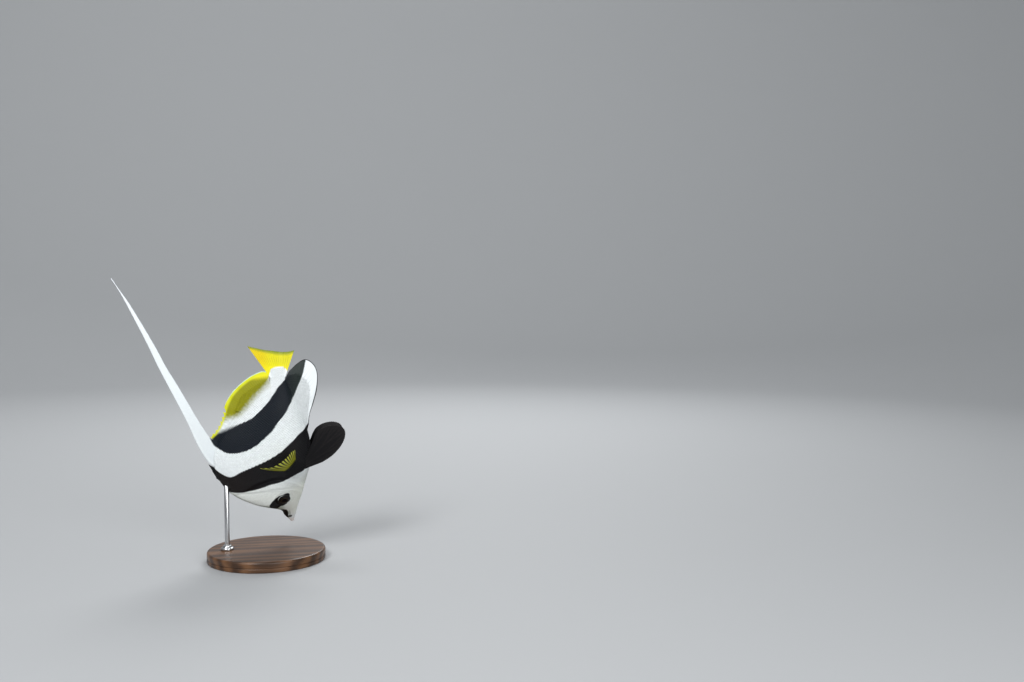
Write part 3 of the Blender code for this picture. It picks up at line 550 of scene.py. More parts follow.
def relief(place):
    # height of the skin over the smooth body, each part faded out at its ends by a ramp
    s, r, h = place[..., 0], np.abs(place[..., 1]), place[..., 2]
    cover = edgeDistance("coverEdge", s, h)
    spanned = ramp(h, 40, 27)
    rise = face["coverRise"] * np.exp(np.minimum(cover, 0) / 6.5) * ramp(cover, 0.35, -0.25)
    out = spanned * (rise - face["coverGroove"] * np.exp(-((cover - 0.6) / 0.55) ** 2))
    cheek = edgeDistance("cheekEdge", s, h)
    spanned = ramp(h, 24, 14) * ramp(s, 30, 38)
    out += spanned * (face["cheekRise"] * np.exp(np.minimum(cheek, 0) / 4.0) * ramp(cheek, 0.4, -0.3)
                      - face["cheekGroove"] * np.exp(-((cheek - 0.6) / 0.6) ** 2))
    away = np.sqrt((s - eyeSpot[0]) ** 2 + 0.6 * (r - eyeSpot[1]) ** 2 + (h - eyeSpot[2]) ** 2)
    out += sunkRim(away, face["orbit"], face["orbitRim"], face["orbitDepth"])
    for spot in face["nostrils"]:
        # distances are drawn out, so that the ring is narrower than the orbit's and 0.94 mm in radius
        away = np.hypot(s - spot[0], h - spot[1]) * 1.6 + 4.9
        out += sunkRim(away, 6.4, face["nostrilRim"], face["nostrilDepth"])
    opened = ramp(s, face["mouthCorner"] + 0.6, face["mouthCorner"] - 0.8)
    fromSlit = h - face["mouthHeight"] + 0.05 * s
    out += opened * (face["lipRise"] * np.exp(-((np.abs(fromSlit) - 0.75) / 0.5) ** 2)
                     - face["slitDepth"] * np.exp(-(fromSlit / 0.17) ** 2))
    out -= 0.10 * np.exp(-((s - 5.6 - 0.3 * np.abs(fromSlit)) / 0.9) ** 2) * ramp(h, 3.0, 0.5)
    return out


# Skin: one closed grid from the lips to the tail's root

skin = {
    "around": 148,              # points up each side
    "headPitch": 0.36,          # millimetres between rings on the head
    "trunkPitch": 0.86,
    "headEnd": 63.0,
    "snoutLength": 2.5,
    "snoutRings": 18,
    "snoutSunk": 0.8,           # how far the middle of the mouth lies behind the lips
    "coatDepth": 0.16,
}


def bodyRings():
    # stations spaced evenly in s, closer on the head
    fine = np.linspace(0, lastStation, 3000)
    row = spline(stations, fine)
    s = (row[:, 0] + row[:, 2]) / 2
    pitch = skin["headPitch"] + (skin["trunkPitch"] - skin["headPitch"]) * ramp(s, skin["headEnd"] - 4,
                                                                              skin["headEnd"] + 4)
    run = np.concatenate([[0], np.cumsum(np.diff(s) / pitch[1:])])
    return np.interp(np.linspace(0, run[-1], int(run[-1]) + 1), run, fine)


def skinGrid():
    turn = np.linspace(0, math.pi, skin["around"])
    v = 0.55 * (1 - np.cos(turn)) / 2 + 0.45 * turn / math.pi
    u = bodyRings()
    uu, vv = np.meshgrid(u, v, indexing="ij")
    place, width = section(uu, vv)
    left = np.stack([place[..., 0], -width, place[..., 1]], -1)
    right = left[:, -2:0:-1] * (1, -1, 1)
    grid = np.concatenate([left, right], axis=1)
    # the ends close as domes: each ring shrinks by cos and moves out by sin
    domes = []
    for ring, reach, count in ((grid[0], -skin["snoutLength"], skin["snoutRings"]), (grid[-1], 0.9, 4)):
        angle = (np.arange(1, count + 1) / (count + 1) * math.pi / 2)[:, None, None]
        centre = ring.mean(0)
        dome = centre + (ring - centre) * np.cos(angle) + np.array([reach, 0, 0]) * np.sin(angle)
        domes.append((dome, centre + (reach, 0, 0)))
    grid = np.concatenate([domes[0][0][::-1], grid, domes[1][0]])
    return grid, domes[0][1], domes[1][1]


def gridNormals(grid):
    # cross product of the steps along and around, for a grid that closes round
    wide = np.concatenate([grid[:, -1:], grid, grid[:, :1]], axis=1)
    normal = np.cross(np.gradient(grid, axis=0), (wide[:, 2:] - wide[:, :-2]) / 2)
    normal /= np.linalg.norm(normal, axis=-1)[..., None] + 1e-12
    outward = (normal * (grid - grid.mean(axis=1, keepdims=True))).sum()
    return normal * (1 if outward > 0 else -1)


def makeSkin(finish):
    grid, snout, tail = skinGrid()
    rows, columns = grid.shape[:2]
    normal = gridNormals(grid)
    grid = grid + normal * (relief(grid) - skin["coatDepth"])[..., None]
    snout = snout + np.array([skin["snoutSunk"], 0, 0])
    place = np.concatenate([grid.reshape(-1, 3), [snout], [tail]])
    faces = [gridQuads(rows, columns, closed=True), poleFans(rows * columns, columns)]
    piece = makePiece("skin", posed(place), faces, finish,
                      ("head", "trunk", "tail_stalk", "gill_cover_left", "gill_cover_right"),
                      markAttributes(place))
    print("skin:", len(piece.data.polygons), "faces")


def skinFinish():
    finish = Finish("skin finish", Coat_Weight=0.08, Coat_Roughness=0.3, Specular_IOR_Level=0.14)
    place = finish.attribute("fishPlace")
    pores = finish.noise(place, 1.6, 4.0, 0.6)
    cells = finish.node("ShaderNodeTexVoronoi", {"feature": "F1"}, {"Vector": place, "Scale": 0.9})
    tone = (finish.noise(place, 0.2, 3.0) - 0.5) * 0.12
    colour = fishColour(finish, tone, (pores - 0.45).smooth(0, 0.5) * 0.25)
    return finish.set(Base_Color=colour, Roughness=0.34 + pores * 0.16,
                      Normal=finish.bump(cells * 0.5 + pores, 0.22, 0.0003))


# Scales: a half-offset lattice in s and in the length of the curve up each side. Every scale is a
# closed lens, its front sunk in the skin and its rear edge lifted over the next one

scales = {
    "start": 15.0,
    "end": 174.0,
    "bareSnout": 21.0,          # no scales nearer to the lips
    "snoutFade": 11.0,          # they grow to full size over this length
    "partsAt": 62.0,            # s where the mesh of the head's scales gives way to the body's finer one
    "halfLength": 0.84,         # as shares of the distances in the lattice
    "halfWidth": 1.16,
    "shake": 0.05,              # how far sizes and lifts differ at random
    "refHeight": 8.0,           # the rows are counted from this level of h
    "flankPitch": 2.7,          # along s on the middle of the flank
    "facePitch": 1.15,
    "stalkPitch": 1.7,
    "edgeShrink": 0.66,         # share of a row's height left at the back and belly
    "rowShare": 0.56,           # distance between rows as a share of the pitch
    "lift": 0.15,
    "dome": 0.07,
    "ownColour": 0.4,           # how far a scale keeps the colour of its root all over
    "seed": 41,
}
tableStep = 0.5
arcStep = 0.25
uvPatch = 0.0015                # half size of one scale in texture space


def arcTable():
    # for columns of constant s: the curve from belly to back, resampled by its own length
    s = np.arange(scales["start"] - 4, scales["end"] + 1.4, tableStep)
    fine = spline(stations, np.linspace(0, lastStation, 3000))
    back = np.interp(s, fine[:, 0], fine[:, 1])
    belly = np.interp(s, fine[:, 2], fine[:, 3])
    t = (1 - np.cos(np.linspace(0, math.pi, 261))) / 2
    h = belly[:, None] + (back - belly)[:, None] * t
    r = flank(np.broadcast_to(s[:, None], h.shape), h)
    r[:, 0] = r[:, -1] = 0.0
    run = np.concatenate([np.zeros((len(s), 1)),
                          np.cumsum(np.hypot(np.diff(r, axis=1), np.diff(h, axis=1)), axis=1)], axis=1)
    q = np.arange(-48.0, 82.0, arcStep)
    table = np.zeros((len(s), len(q), 3))
    ends = np.zeros((len(s), 2))
    for i in range(len(s)):
        length = run[i] - np.interp(scales["refHeight"], h[i], run[i])
        table[i, :, 0] = s[i]
        table[i, :, 1] = np.interp(q, length, r[i])
        table[i, :, 2] = np.interp(q, length, h[i])
        ends[i] = length[0], length[-1]
    return s, q, table, ends


def readGrid(grid, a, b):
    # value between the four nearest points of a grid, at row a and column b
    a = np.clip(a, 0, grid.shape[0] - 1.001)
    b = np.clip(b, 0, grid.shape[1] - 1.001)
    i, j = a.astype(int), b.astype(int)
    fa, fb = (a - i)[..., None], (b - j)[..., None]
    return ((grid[i, j] * (1 - fb) + grid[i, j + 1] * fb) * (1 - fa)
            + (grid[i + 1, j] * (1 - fb) + grid[i + 1, j + 1] * fb) * fa)


def readTable(table, s0, q0, s, q):
    return readGrid(table, (s - s0) / tableStep, (q - q0) / arcStep)


def scaleTemplate(rows, columns):
    # a square grid drawn out to a disc: x = a sqrt(1 - b²/2), y = b sqrt(1 - a²/2)
    a, b = np.meshgrid(np.linspace(-1, 1, rows), np.linspace(-1, 1, columns), indexing="ij")
    x, y = a * np.sqrt(1 - b * b / 2), b * np.sqrt(1 - a * a / 2)
    return x.ravel(), y.ravel(), gridQuads(rows, columns), gridRim(rows, columns)[::-1][None]


def pitchAt(s):
    # length of a scale: short on the face, longest on the flank, shorter again on the stalk
    return (scales["facePitch"] + (scales["flankPitch"] - scales["facePitch"]) * ramp(s, 38, 92)
            - (scales["flankPitch"] - scales["stalkPitch"]) * ramp(s, 112, 168))


def rowGather(s):
    # rows draw together as the scales get shorter
    return (pitchAt(s) / scales["flankPitch"]) ** 0.85


def scaleLattice():
    # scale i of row j stands where the run of ds / pitch is i + j / 2, at q = gather(s) R(j), where
    # the steps of R shrink away from the middle of the flank
    fine = np.linspace(scales["start"], scales["end"], 2000)
    run = np.concatenate([[0], np.cumsum(np.diff(fine) / pitchAt(fine[1:]))])
    step, spots = scales["flankPitch"] * scales["rowShare"], []
    for way in (1, -1):
        level, row = (0.0, 0) if way > 0 else (-step, 1)
        while abs(level) < 130.0:
            s = np.interp(np.arange(0.5 * (row % 2), run[-1], 1.0), run, fine)
            rowStep = step * (1 - (1 - scales["edgeShrink"]) * float(ramp(abs(level), 20, 62)))
            gather = rowGather(s)
            slope = (rowGather(s + 0.5) - rowGather(s - 0.5)) * level
            spots.append(np.stack([s, gather * level, pitchAt(s), gather * rowStep, slope], -1))
            level += way * rowStep
            row += 1
    return np.vstack(spots)


def scaleAttributes(place, root, x, y, tone):
    # markings read partly at the scale's own root, and the place on the scale
    mixed = place.copy()
    mixed[:, ::2] += scales["ownColour"] * (np.repeat(root, len(x), axis=0) - place)[:, ::2]
    out = markAttributes(mixed)
    out["scale"] = np.stack([np.tile(x, len(root)), np.tile(y, len(root)), np.repeat(tone, len(x))], -1)
    return out


def scaleFaces(count, size, quads, rim):
    start = (np.arange(count) * size)[:, None, None]
    return [(quads[None] + start).reshape(-1, 4), (rim[None] + start).reshape(count, -1)]


def makeScales(finish):
    s, q, table, ends = arcTable()
    normals = np.cross(np.gradient(table, axis=0), np.gradient(table, axis=1))
    normals /= np.linalg.norm(normals, axis=-1)[..., None] + 1e-9
    normals *= np.sign(normals[..., 1:2].mean())
    spots = scaleLattice()
    at, level, length, width, slope = spots.T
    low, high = (np.interp(at, s, ends[:, k]) for k in (0, 1))
    root = readTable(table, s[0], q[0], at, level)
    away = np.linalg.norm((root - eyeSpot) * (1, 0.77, 1), axis=1)
    reach = 0.62 * length + 0.2
    cover = np.abs(edgeDistance("coverEdge", at, root[:, 2]) - 0.25) - reach * ramp(root[:, 2], 42, 36)
    cheek = np.abs(edgeDistance("cheekEdge", at, root[:, 2]) - 0.25) - reach * ramp(root[:, 2], 24, 18)
    clear = np.minimum(np.minimum(cover, cheek), away - face["orbit"] - 1.7)
    fromLips = np.hypot(at, root[:, 2])
    fade = (ramp(clear, -0.3, 1.8)
            * ramp(fromLips, scales["bareSnout"], scales["bareSnout"] + scales["snoutFade"])
            * ramp(scales["end"] - at, -1.0, 6.0))
    kept = ((level > low + 0.3) & (level < high - 0.3) & (clear > 0) & (fade > 0.04))
    onHead, shake = at < scales["partsAt"], scales["shake"]
    draw = np.random.default_rng(scales["seed"])
    for side, word in ((-1, "left"), (1, "right")):
        for part, here, shape in (("head", onHead, (4, 5)), ("body", ~onHead, (5, 6))):
            chosen = kept & here
            x, y, quads, rim = scaleTemplate(*shape)
            count, size = int(chosen.sum()), len(x)
            own = [v[chosen][:, None] for v in (at, level, length, width, slope, low, high, fade)]
            jitter = 1 + draw.uniform(-shake, shake, (count, 3))
            grown = 0.6 + 0.4 * own[7]
            ahead = x * own[2] * scales["halfLength"] * jitter[:, 0:1] * grown
            up = own[1] + y * own[3] * scales["halfWidth"] * jitter[:, 1:2] * grown + ahead * own[4]
            up = np.clip(up, own[5], own[6])
            place = readTable(table, s[0], q[0], own[0] + ahead, up)
            normal = readTable(normals, s[0], q[0], own[0] + ahead, up)
            normal /= np.linalg.norm(normal, axis=-1)[..., None] + 1e-9
            lift = (scales["lift"] * (x * 0.9 - 0.15) * jitter[:, 2:3]
                    + scales["dome"] * (1 - x**2) * (1 - y**2)) * (own[2] / scales["flankPitch"]) ** 1.4
            out = relief(place) - skin["coatDepth"] + lift * own[7] - 0.10 * (1 - own[7])
            place = place + normal * out[..., None]
            place[..., 1] *= side
            # each scale is a small patch at its root's place on the flattened flank
            across = 0.02 + 0.46 * (own[0][:, 0] - s[0]) / (s[-1] - s[0]) + (0.5 if side > 0 else 0.0)
            upward = 0.02 + 0.96 * (own[1][:, 0] - q[0]) / (q[-1] - q[0])
            uv = np.stack([np.repeat(across, size) + np.tile(x, count) * uvPatch,
                           np.repeat(upward, size) + np.tile(y, count) * uvPatch], -1)
            flat = place.reshape(-1, 3)
            made = scaleAttributes(flat, root[chosen], x, y, draw.uniform(-1, 1, count))
            makePiece(f"scales_{part}_{word}", posed(flat), scaleFaces(count, size, quads, rim), finish,
                      (), made, uv)
            triangles = count * (2 * len(quads) + rim.shape[1] - 2)
            print("scales:", part, word, count, "of", triangles, "triangles")


def scaleFinish():
    finish = Finish("scale finish", Coat_Weight=0.08, Coat_Roughness=0.3, Specular_IOR_Level=0.14)
    x, y, tone = finish.split("scale")
    place = finish.attribute("fishPlace")
    rings = ((x * x + y * y) * 26.0).sine()
    grain = finish.noise(place, 1.4, 3.0)
    # the shade argument paints shade at the scale's front, where the scale ahead lies over it
    colour = fishColour(finish, tone * 0.05 + (grain - 0.5) * 0.08, (0.15 - x).smooth(0, 0.9) * 0.5)
    return finish.set(Base_Color=colour, Roughness=0.30 + grain * 0.2,
                      Normal=finish.bump(rings * 0.5 + grain, 0.12, 0.0002))


# Fins: fine sheets with branched rays standing on both faces

# columns of a fin's grid for each of its rays, and rows of that grid
rayColumns = {"dorsal": 11, "nape": 16, "anal": 11, "tail": 13, "pelvic": 26, "pectoral": 13}
finRows = {"dorsal": 70, "nape": 30, "anal": 80, "tail": 64, "pelvic": 80, "pectoral": 60}
banner = {
    "front": ((76.0, 72.9), (83.6, 78.6), (103.4, 86.8), (124.3, 93.4), (143.1, 100.3), (164.0, 108.5),
              (187.0, 117.4), (210.0, 125.4), (250.0, 140.8), (268.6, 148.6), (280.4, 154.7)),
    "rear": ((101.5, 67.3), (105.5, 70.5), (109.6, 74.8), (126.8, 83.2), (147.7, 92.4), (166.9, 101.0),
             (184.3, 109.2), (207.3, 118.4), (249.6, 137.4), (271.6, 149.2), (280.9, 153.9)),
    "rows": 300,
    "columns": 36,
    "length": 230.0,
    "membrane": 0.2,            # half thicknesses, the spine's on top of the membrane's
    "spine": 0.42,
    "striae": 9,
}
dorsal = {
    "root": (101.9, 156.6),
    "split": 129.9,             # s at the root where spines give way to soft rays
    "edge": ((109.3, 74.1), (113.4, 69.0), (117.4, 65.6), (122.0, 62.7), (129.0, 59.8), (137.0, 56.9),
             (144.5, 53.0), (152.5, 46.8), (160.8, 36.6), (166.8, 26.2), (169.8, 16.5), (168.6, 9.6)),
    "edgeSplit": (137.0, 56.9),
    "spines": 7,
    "rays": 24,
    "cover": (0.35, 0.62, 0.40),        # share of the fin that bears scales, in front, halfway and behind
}
nape = {
    "root": (59.5, 75.4),
    "edge": ((64.5, 71.9), (70.2, 74.0), (75.6, 76.2), (80.8, 77.9)),
    "spines": 3,
}
anal = {
    "root": (103.0, 159.6),
    "edge": ((111.0, -26.0), (122.0, -28.4), (133.0, -33.2), (145.5, -37.6), (160.0, -40.0), (169.5, -38.4),
             (176.2, -33.4), (178.0, -27.6), (174.0, -19.8), (167.4, -11.4)),
    "spines": 3,
    "rays": 18,
    "cover": (0.5, 0.66, 0.45),
}
tail = {
    "rootHigh": 7.4,
    "rootLow": -6.6,
    "rootS": 161.0,
    "edge": ((198.0, 28.0), (194.6, 19.0), (191.6, 9.0), (189.4, -1.0), (187.8, -10.0), (188.6, -19.0)),
    "rays": 17,
}
pelvic = {
    "root": ((66.5, -17.6), (78.5, -19.8)),
    "edge": ((73.0, -36.0), (79.5, -47.0), (88.5, -56.6), (97.5, -61.0), (104.5, -59.6), (108.4, -52.0),
             (108.0, -42.0), (104.4, -34.0), (99.0, -29.6)),
    "splay": 13.0,
    "rays": 6,
}
pectoral = {
    "root": ((69.6, 0.6), (78.6, -8.2)),
    "reach": ((11.8, 27.6, -20.6), (10.0, 17.9, -23.0), (11.4, 10.4, -24.0), (12.6, 5.8, -23.0),
              (13.6, 2.8, -20.0), (13.1, 0.2, -16.0)),        # s, h and r from the root, ray by ray
    "bow": 1.4,
    "rays": 12,
}


def ridgeLine(span, above, share, sunk=1.2):
    # the back or belly line between two values of s, sunk a little into the body
    fine = spline(stations, np.linspace(0, lastStation, 1500))
    fine = fine[:, 0:2] if above else fine[:, 2:4]
    s = span[0] + (span[1] - span[0]) * share
    h = np.interp(s, fine[:, 0], fine[:, 1])
    step = np.gradient(np.stack([s, h], -1), axis=0)
    step /= np.linalg.norm(step, axis=1)[:, None]
    outward = np.stack([-step[:, 1], step[:, 0]], -1) * (1 if above else -1)
    return np.stack([s, h], -1) - outward * sunk


def branched(cell, down, levels, width):
    # ridges that fork: offsets are plus or minus 1/4, 1/8, 1/16 of a cell, each opening as the ray runs out
    ridge = np.zeros(np.broadcast(cell, down).shape)
    opening = [ramp(down, 0.30 + 0.22 * k, 0.85 + 0.08 * k) for k in range(levels)]
    for code in range(2 ** levels):
        offset = sum((1 if code >> k & 1 else -1) * 0.25 / 2**k * opening[k] for k in range(levels))
        ridge = np.maximum(ridge, np.exp(-((cell - offset) / width) ** 2))
    return ridge


def finAttributes(place, down, ridge, margin, kind):
    # fin attribute: share from root to margin, ridge of a ray, distance from the margin in millimetres
    out = markAttributes(place)
    out["fin"] = np.stack([np.tile(values.ravel(), 2) for values in (down, ridge, margin)], -1)
    if kind == "plain":
        out["bands"] = np.full(out["bands"].shape, -20.0)
        out["tints"][:, 0] = -20.0
    return out


def makeSheet(name, middle, half, across, finish, replaced, down, ridge, margin, kind="marked"):
    near, far = middle - across * half[..., None], middle + across * half[..., None]
    rows, columns = half.shape
    place = np.concatenate([near.reshape(-1, 3), far.reshape(-1, 3)])
    makePiece(name, posed(place), sheetFaces(rows, columns), finish, replaced,
              finAttributes(place, down, ridge, margin, kind))


def medianFin(name, rootLine, edge, cellPlace, spiny, rows, finish, replaced, baseHalf=1.0,
              wave=0.35):
    # a fin in the fish's own plane: columns run from root to margin. cellPlace counts rays, so its
    # fraction says where a column is between two of them; spiny is 1 where they are spines
    w = np.linspace(0, 1, rows)[:, None]
    cell = cellPlace % 1 - 0.5
    soft = branched(cell[None], w, 2, 0.085)
    stiff = np.exp(-(cell / 0.10) ** 2)[None] * np.ones(w.shape)
    ridge = soft * (1 - spiny) + stiff * spiny
    # the margin is cut in between spines, deepest just behind one, and dips a little between soft rays
    behind = (cell + 1) % 1
    notch = spiny * 0.2 * (1 - behind) ** 0.7 * (1 - np.exp(-(cell / 0.07) ** 2))
    ripple = (1 - spiny) * 0.012 * (1 - branched(cell, np.ones(cell.shape), 2, 0.09))
    length = np.linalg.norm(edge - rootLine, axis=1)
    share = w * (1 - notch - ripple)
    flat = rootLine[None] + (edge - rootLine)[None] * share[..., None]
    bend = wave * np.sin(cellPlace * 1.3) * share**2
    middle = np.stack([flat[..., 0], bend, flat[..., 1]], -1)
    body = np.exp(-share * length / 7.0)
    thin = 0.13 + (0.20 + 0.14 * spiny) * ridge * (1 - 0.72 * share)
    edgeThin = 1 - 0.65 * ramp(share, 0.94, 1.0)
    half = (thin + (baseHalf - 0.12) * body) * edgeThin
    margin = (1 - share) * length
    makeSheet(name, middle, half, np.array([0.0, 1.0, 0.0]), finish, replaced,
              share, ridge * np.ones(share.shape), margin)
    smooth = 0.12 + (0.18 + 0.12 * spiny) * (1 - 0.72 * share) + (baseHalf - 0.12) * body
    return middle, smooth, length


finScales = {
    "pitch": 1.75,              # between scales along the fin
    "rowStep": 0.98,
    "start": 0.7,               # millimetres from the fin's root line
    "halfLength": 1.45,         # as shares of the distances between rows and between scales
    "halfWidth": 0.60,
    "shake": 0.05,
    "lift": 0.10,
    "seed": 12,
}


def makeFinScales(name, fin, cover, finish):
    # small scales over the fleshy part of a fin, on both faces: row k stands k steps down each column,
    # every second row shifted by half a scale, and each scale follows the sheet under it
    middle, half, length = fin
    rows, columns = half.shape
    flat = middle[int(rows * 0.3)]
    run = np.concatenate([[0], np.cumsum(np.linalg.norm(np.diff(flat, axis=0), axis=1))])
    pitch, step = finScales["pitch"], finScales["rowStep"]
    spots = []
    for k in range(int(length.max() * max(cover) / step)):
        t = np.arange(0.6 * pitch + pitch / 2 * (k % 2), run[-1] - 0.6 * pitch, pitch)
        spots.append(np.stack([np.full(len(t), finScales["start"] + k * step), t], -1))
    spots = np.vstack(spots)
    limit = np.interp(spots[:, 1], run, length * np.interp(np.linspace(0, 1, columns), (0, 0.5, 1), cover))
    spots, limit = spots[spots[:, 0] < limit], limit[spots[:, 0] < limit]
    fade = ramp(limit - spots[:, 0], 0.0, 4.0)[:, None]
    x, y, quads, rim = scaleTemplate(4, 5)
    count, size = len(spots), len(x)
    draw = np.random.default_rng(finScales["seed"])
    depth, t = spots[:, 0:1], spots[:, 1:2]
    for side, word in ((-1, "left"), (1, "right")):
        jitter = 1 + draw.uniform(-finScales["shake"], finScales["shake"], (count, 2))
        surface = middle + np.array([0.0, side, 0.0]) * half[..., None]
        grown = 0.7 + 0.3 * fade
        beside = y * pitch * finScales["halfWidth"] * jitter[:, 0:1] * grown
        column = np.interp(t + beside, run, np.arange(columns))
        row = depth + x * step * finScales["halfLength"] * jitter[:, 1:2] * grown
        row = row / np.interp(column, np.arange(columns), length)
        place = readGrid(surface, row * (rows - 1), column)
        lift = finScales["lift"] * (x * 0.9 - 0.1) * (0.3 + 0.7 * fade) + 0.04 * (1 - x**2) * (1 - y**2)
        place[..., 1] += side * (lift - 0.12 * (1 - fade))
        flatPlace = place.reshape(-1, 3)
        root = readGrid(surface, depth[:, 0] / np.interp(t[:, 0], run, length) * (rows - 1),
                        np.interp(t[:, 0], run, np.arange(columns)))
        across = 0.02 + 0.96 * t[:, 0] / run[-1]
        upward = 0.02 + 0.46 * depth[:, 0] / length.max() + (0.5 if side > 0 else 0.0)
        uv = np.stack([np.repeat(across, size) + np.tile(y, count) * uvPatch,
                       np.repeat(upward, size) + np.tile(x, count) * uvPatch], -1)
        made = scaleAttributes(flatPlace, root, x, y, draw.uniform(-1, 1, count))
        makePiece(f"{name}_{word}", posed(flatPlace), scaleFaces(count, size, quads, rim), finish,
                  (), made, uv)
    print(name + ":", count, "a side")


def makeMedianFins(finishes):
    per, steps = rayColumns["dorsal"], 400
    fine = along(dorsal["edge"], np.linspace(0, 1, steps))
    splitAt = np.argmin(np.linalg.norm(fine - dorsal["edgeSplit"], axis=1)) / (steps - 1)
    x = np.concatenate([np.linspace(0, 1, dorsal["spines"] * per, endpoint=False),
                        1 + np.linspace(0, 1, dorsal["rays"] * per)])
    rootShare = np.interp(x, (0, 1, 2), (0, (dorsal["split"] - dorsal["root"][0])
                                         / (dorsal["root"][1] - dorsal["root"][0]), 1))
    edge = along(dorsal["edge"], np.interp(x, (0, 1, 2), (0, splitAt, 1)))
    count = np.interp(x, (0, 1, 2), (0.5, 0.5 + dorsal["spines"], dorsal["spines"] + dorsal["rays"] - 0.5))
    made = medianFin("dorsal_fin", ridgeLine(dorsal["root"], True, rootShare), edge, count,
                     (x < 1.0) * 1.0, finRows["dorsal"], finishes["fin"],
                     ("dorsal_fin_spiny", "dorsal_fin_soft"))
    makeFinScales("dorsal_scales", made, dorsal["cover"], finishes["scale"])
    x = np.linspace(0, 1, nape["spines"] * rayColumns["nape"])
    medianFin("dorsal_fin_front", ridgeLine(nape["root"], True, x), along(nape["edge"], x),
              0.5 + x * (nape["spines"] - 1) * 0.999, np.ones(len(x)), finRows["nape"], finishes["fin"],
              ("dorsal_fin_nape",))
    x = np.linspace(0, 1, (anal["spines"] + anal["rays"]) * rayColumns["anal"])
    count = 0.5 + x * (anal["spines"] + anal["rays"] - 1)
    made = medianFin("anal_fin_fine", ridgeLine(anal["root"], False, x), along(anal["edge"], x), count,
                     (count < anal["spines"]) * 1.0, finRows["anal"], finishes["fin"],
                     ("anal_fin",))
    makeFinScales("anal_scales", made, anal["cover"], finishes["scale"])
    x = np.linspace(0, 1, tail["rays"] * rayColumns["tail"])
    rootLine = np.stack([np.full(len(x), tail["rootS"]) + 1.5 * np.sin(math.pi * x),
                         tail["rootHigh"] + (tail["rootLow"] - tail["rootHigh"]) * x], -1)
    medianFin("tail_fin_fine", rootLine, along(tail["edge"], x), 0.5 + x * (tail["rays"] - 1),
              np.zeros(len(x)), finRows["tail"], finishes["tail"], ("tail_fin",),
              baseHalf=2.0, wave=0.5)
    print("median fins made")


def makeBanner(finish):
    # the streamer: a spine near its front edge, fine lengthwise striae and a slow wave
    rows, columns = banner["rows"], banner["columns"]
    w = np.linspace(0, 1, rows) ** 1.15
    front, rear = along(banner["front"], w), along(banner["rear"], w)
    x = (1 - np.cos(np.linspace(0, math.pi, columns))) / 2
    foot = ridgeLine((banner["front"][0][0], banner["rear"][0][0]), True, x, sunk=1.6)
    flat = front[:, None] + (rear - front)[:, None] * x[None, :, None]
    run = (w * banner["length"])[:, None]
    flat += (foot - flat[0]) * np.exp(-run / 9.0)[..., None]
    spine = np.exp(-((x - 0.09) / 0.07) ** 2)[None] * (1 - 0.75 * w[:, None])
    striae = (0.5 + 0.5 * np.cos(x * 2 * math.pi * banner["striae"]))[None]
    striae = striae * ramp(w, 0, 0.08)[:, None] * ramp(w, 1, 0.75)[:, None]
    edgeThin = ramp(x, 0, 0.035) * ramp(x, 1, 0.9) * 0.7 + 0.3
    thin = (banner["membrane"] + banner["spine"] * spine + 0.05 * striae) * edgeThin[None]
    half = thin * (1 - 0.35 * w[:, None]) + 0.85 * np.exp(-run / 5.0)
    wave = 0.5 * np.sin(w * 7.0)[:, None] * ramp(w, 0.05, 0.5)[:, None] * np.ones(half.shape)
    middle = np.stack([flat[..., 0], wave, flat[..., 1]], -1)
    down = np.broadcast_to(w[:, None], half.shape)
    breadth = np.linalg.norm(rear - front, axis=1)[:, None]
    margin = np.minimum(x, 1 - x)[None] * breadth
    makeSheet("banner_fine", middle, half, np.array([0.0, 1.0, 0.0]), finish, ("banner",), down,
              np.maximum(spine, striae * 0.6), margin)
    print("banner made")


def sheetNormal(middle):
    across = np.cross(np.gradient(middle, axis=0), np.gradient(middle, axis=1))
    return across / (np.linalg.norm(across, axis=-1)[..., None] + 1e-12)


def makePelvic(finish, side, word):
    # a paddle that fans backwards from its spine and opens away from the belly
    x = np.linspace(0, 1, pelvic["rays"] * rayColumns["pelvic"])
    w = (np.linspace(0, 1, finRows["pelvic"]) ** 1.1)[:, None]
    start = np.array(pelvic["root"][0]) + np.outer(x, np.subtract(pelvic["root"][1], pelvic["root"][0]))
    edge = along(pelvic["edge"], x)
    count = 0.5 + x * (pelvic["rays"] - 1)
    cell = count % 1 - 0.5
    spiny = ramp(x, 0.10, 0.06)
    ridge = branched(cell[None], w, 3, 0.05) * (1 - spiny) + np.exp(-(x / 0.035) ** 2) * spiny
    share = w * (1 - 0.015 * (1 - branched(cell, np.ones(cell.shape), 3, 0.05)))
    flat = start + (edge - start) * share[..., None]
    away = np.linalg.norm(flat - start, axis=-1)
    opened = away * math.tan(math.radians(pelvic["splay"])) * (1 - away / 160)
    out = flank(start[:, 0], start[:, 1]) - 0.8 + opened
    out = out + 0.35 * np.sin(count * 1.7) * share**2
    middle = np.stack([flat[..., 0], side * out, flat[..., 1]], -1)
    half = 0.12 + 0.24 * ridge * (1 - 0.7 * share) + 1.1 * np.exp(-away / 4.0)
    half *= 1 - 0.6 * ramp(share, 0.95, 1)
    length = np.linalg.norm(edge - start, axis=1)
    makeSheet("pelvic_fine_" + word, middle, half, sheetNormal(middle), finish,
              ("pelvic_fin_" + word,), share, ridge, (1 - share) * length, "plain")


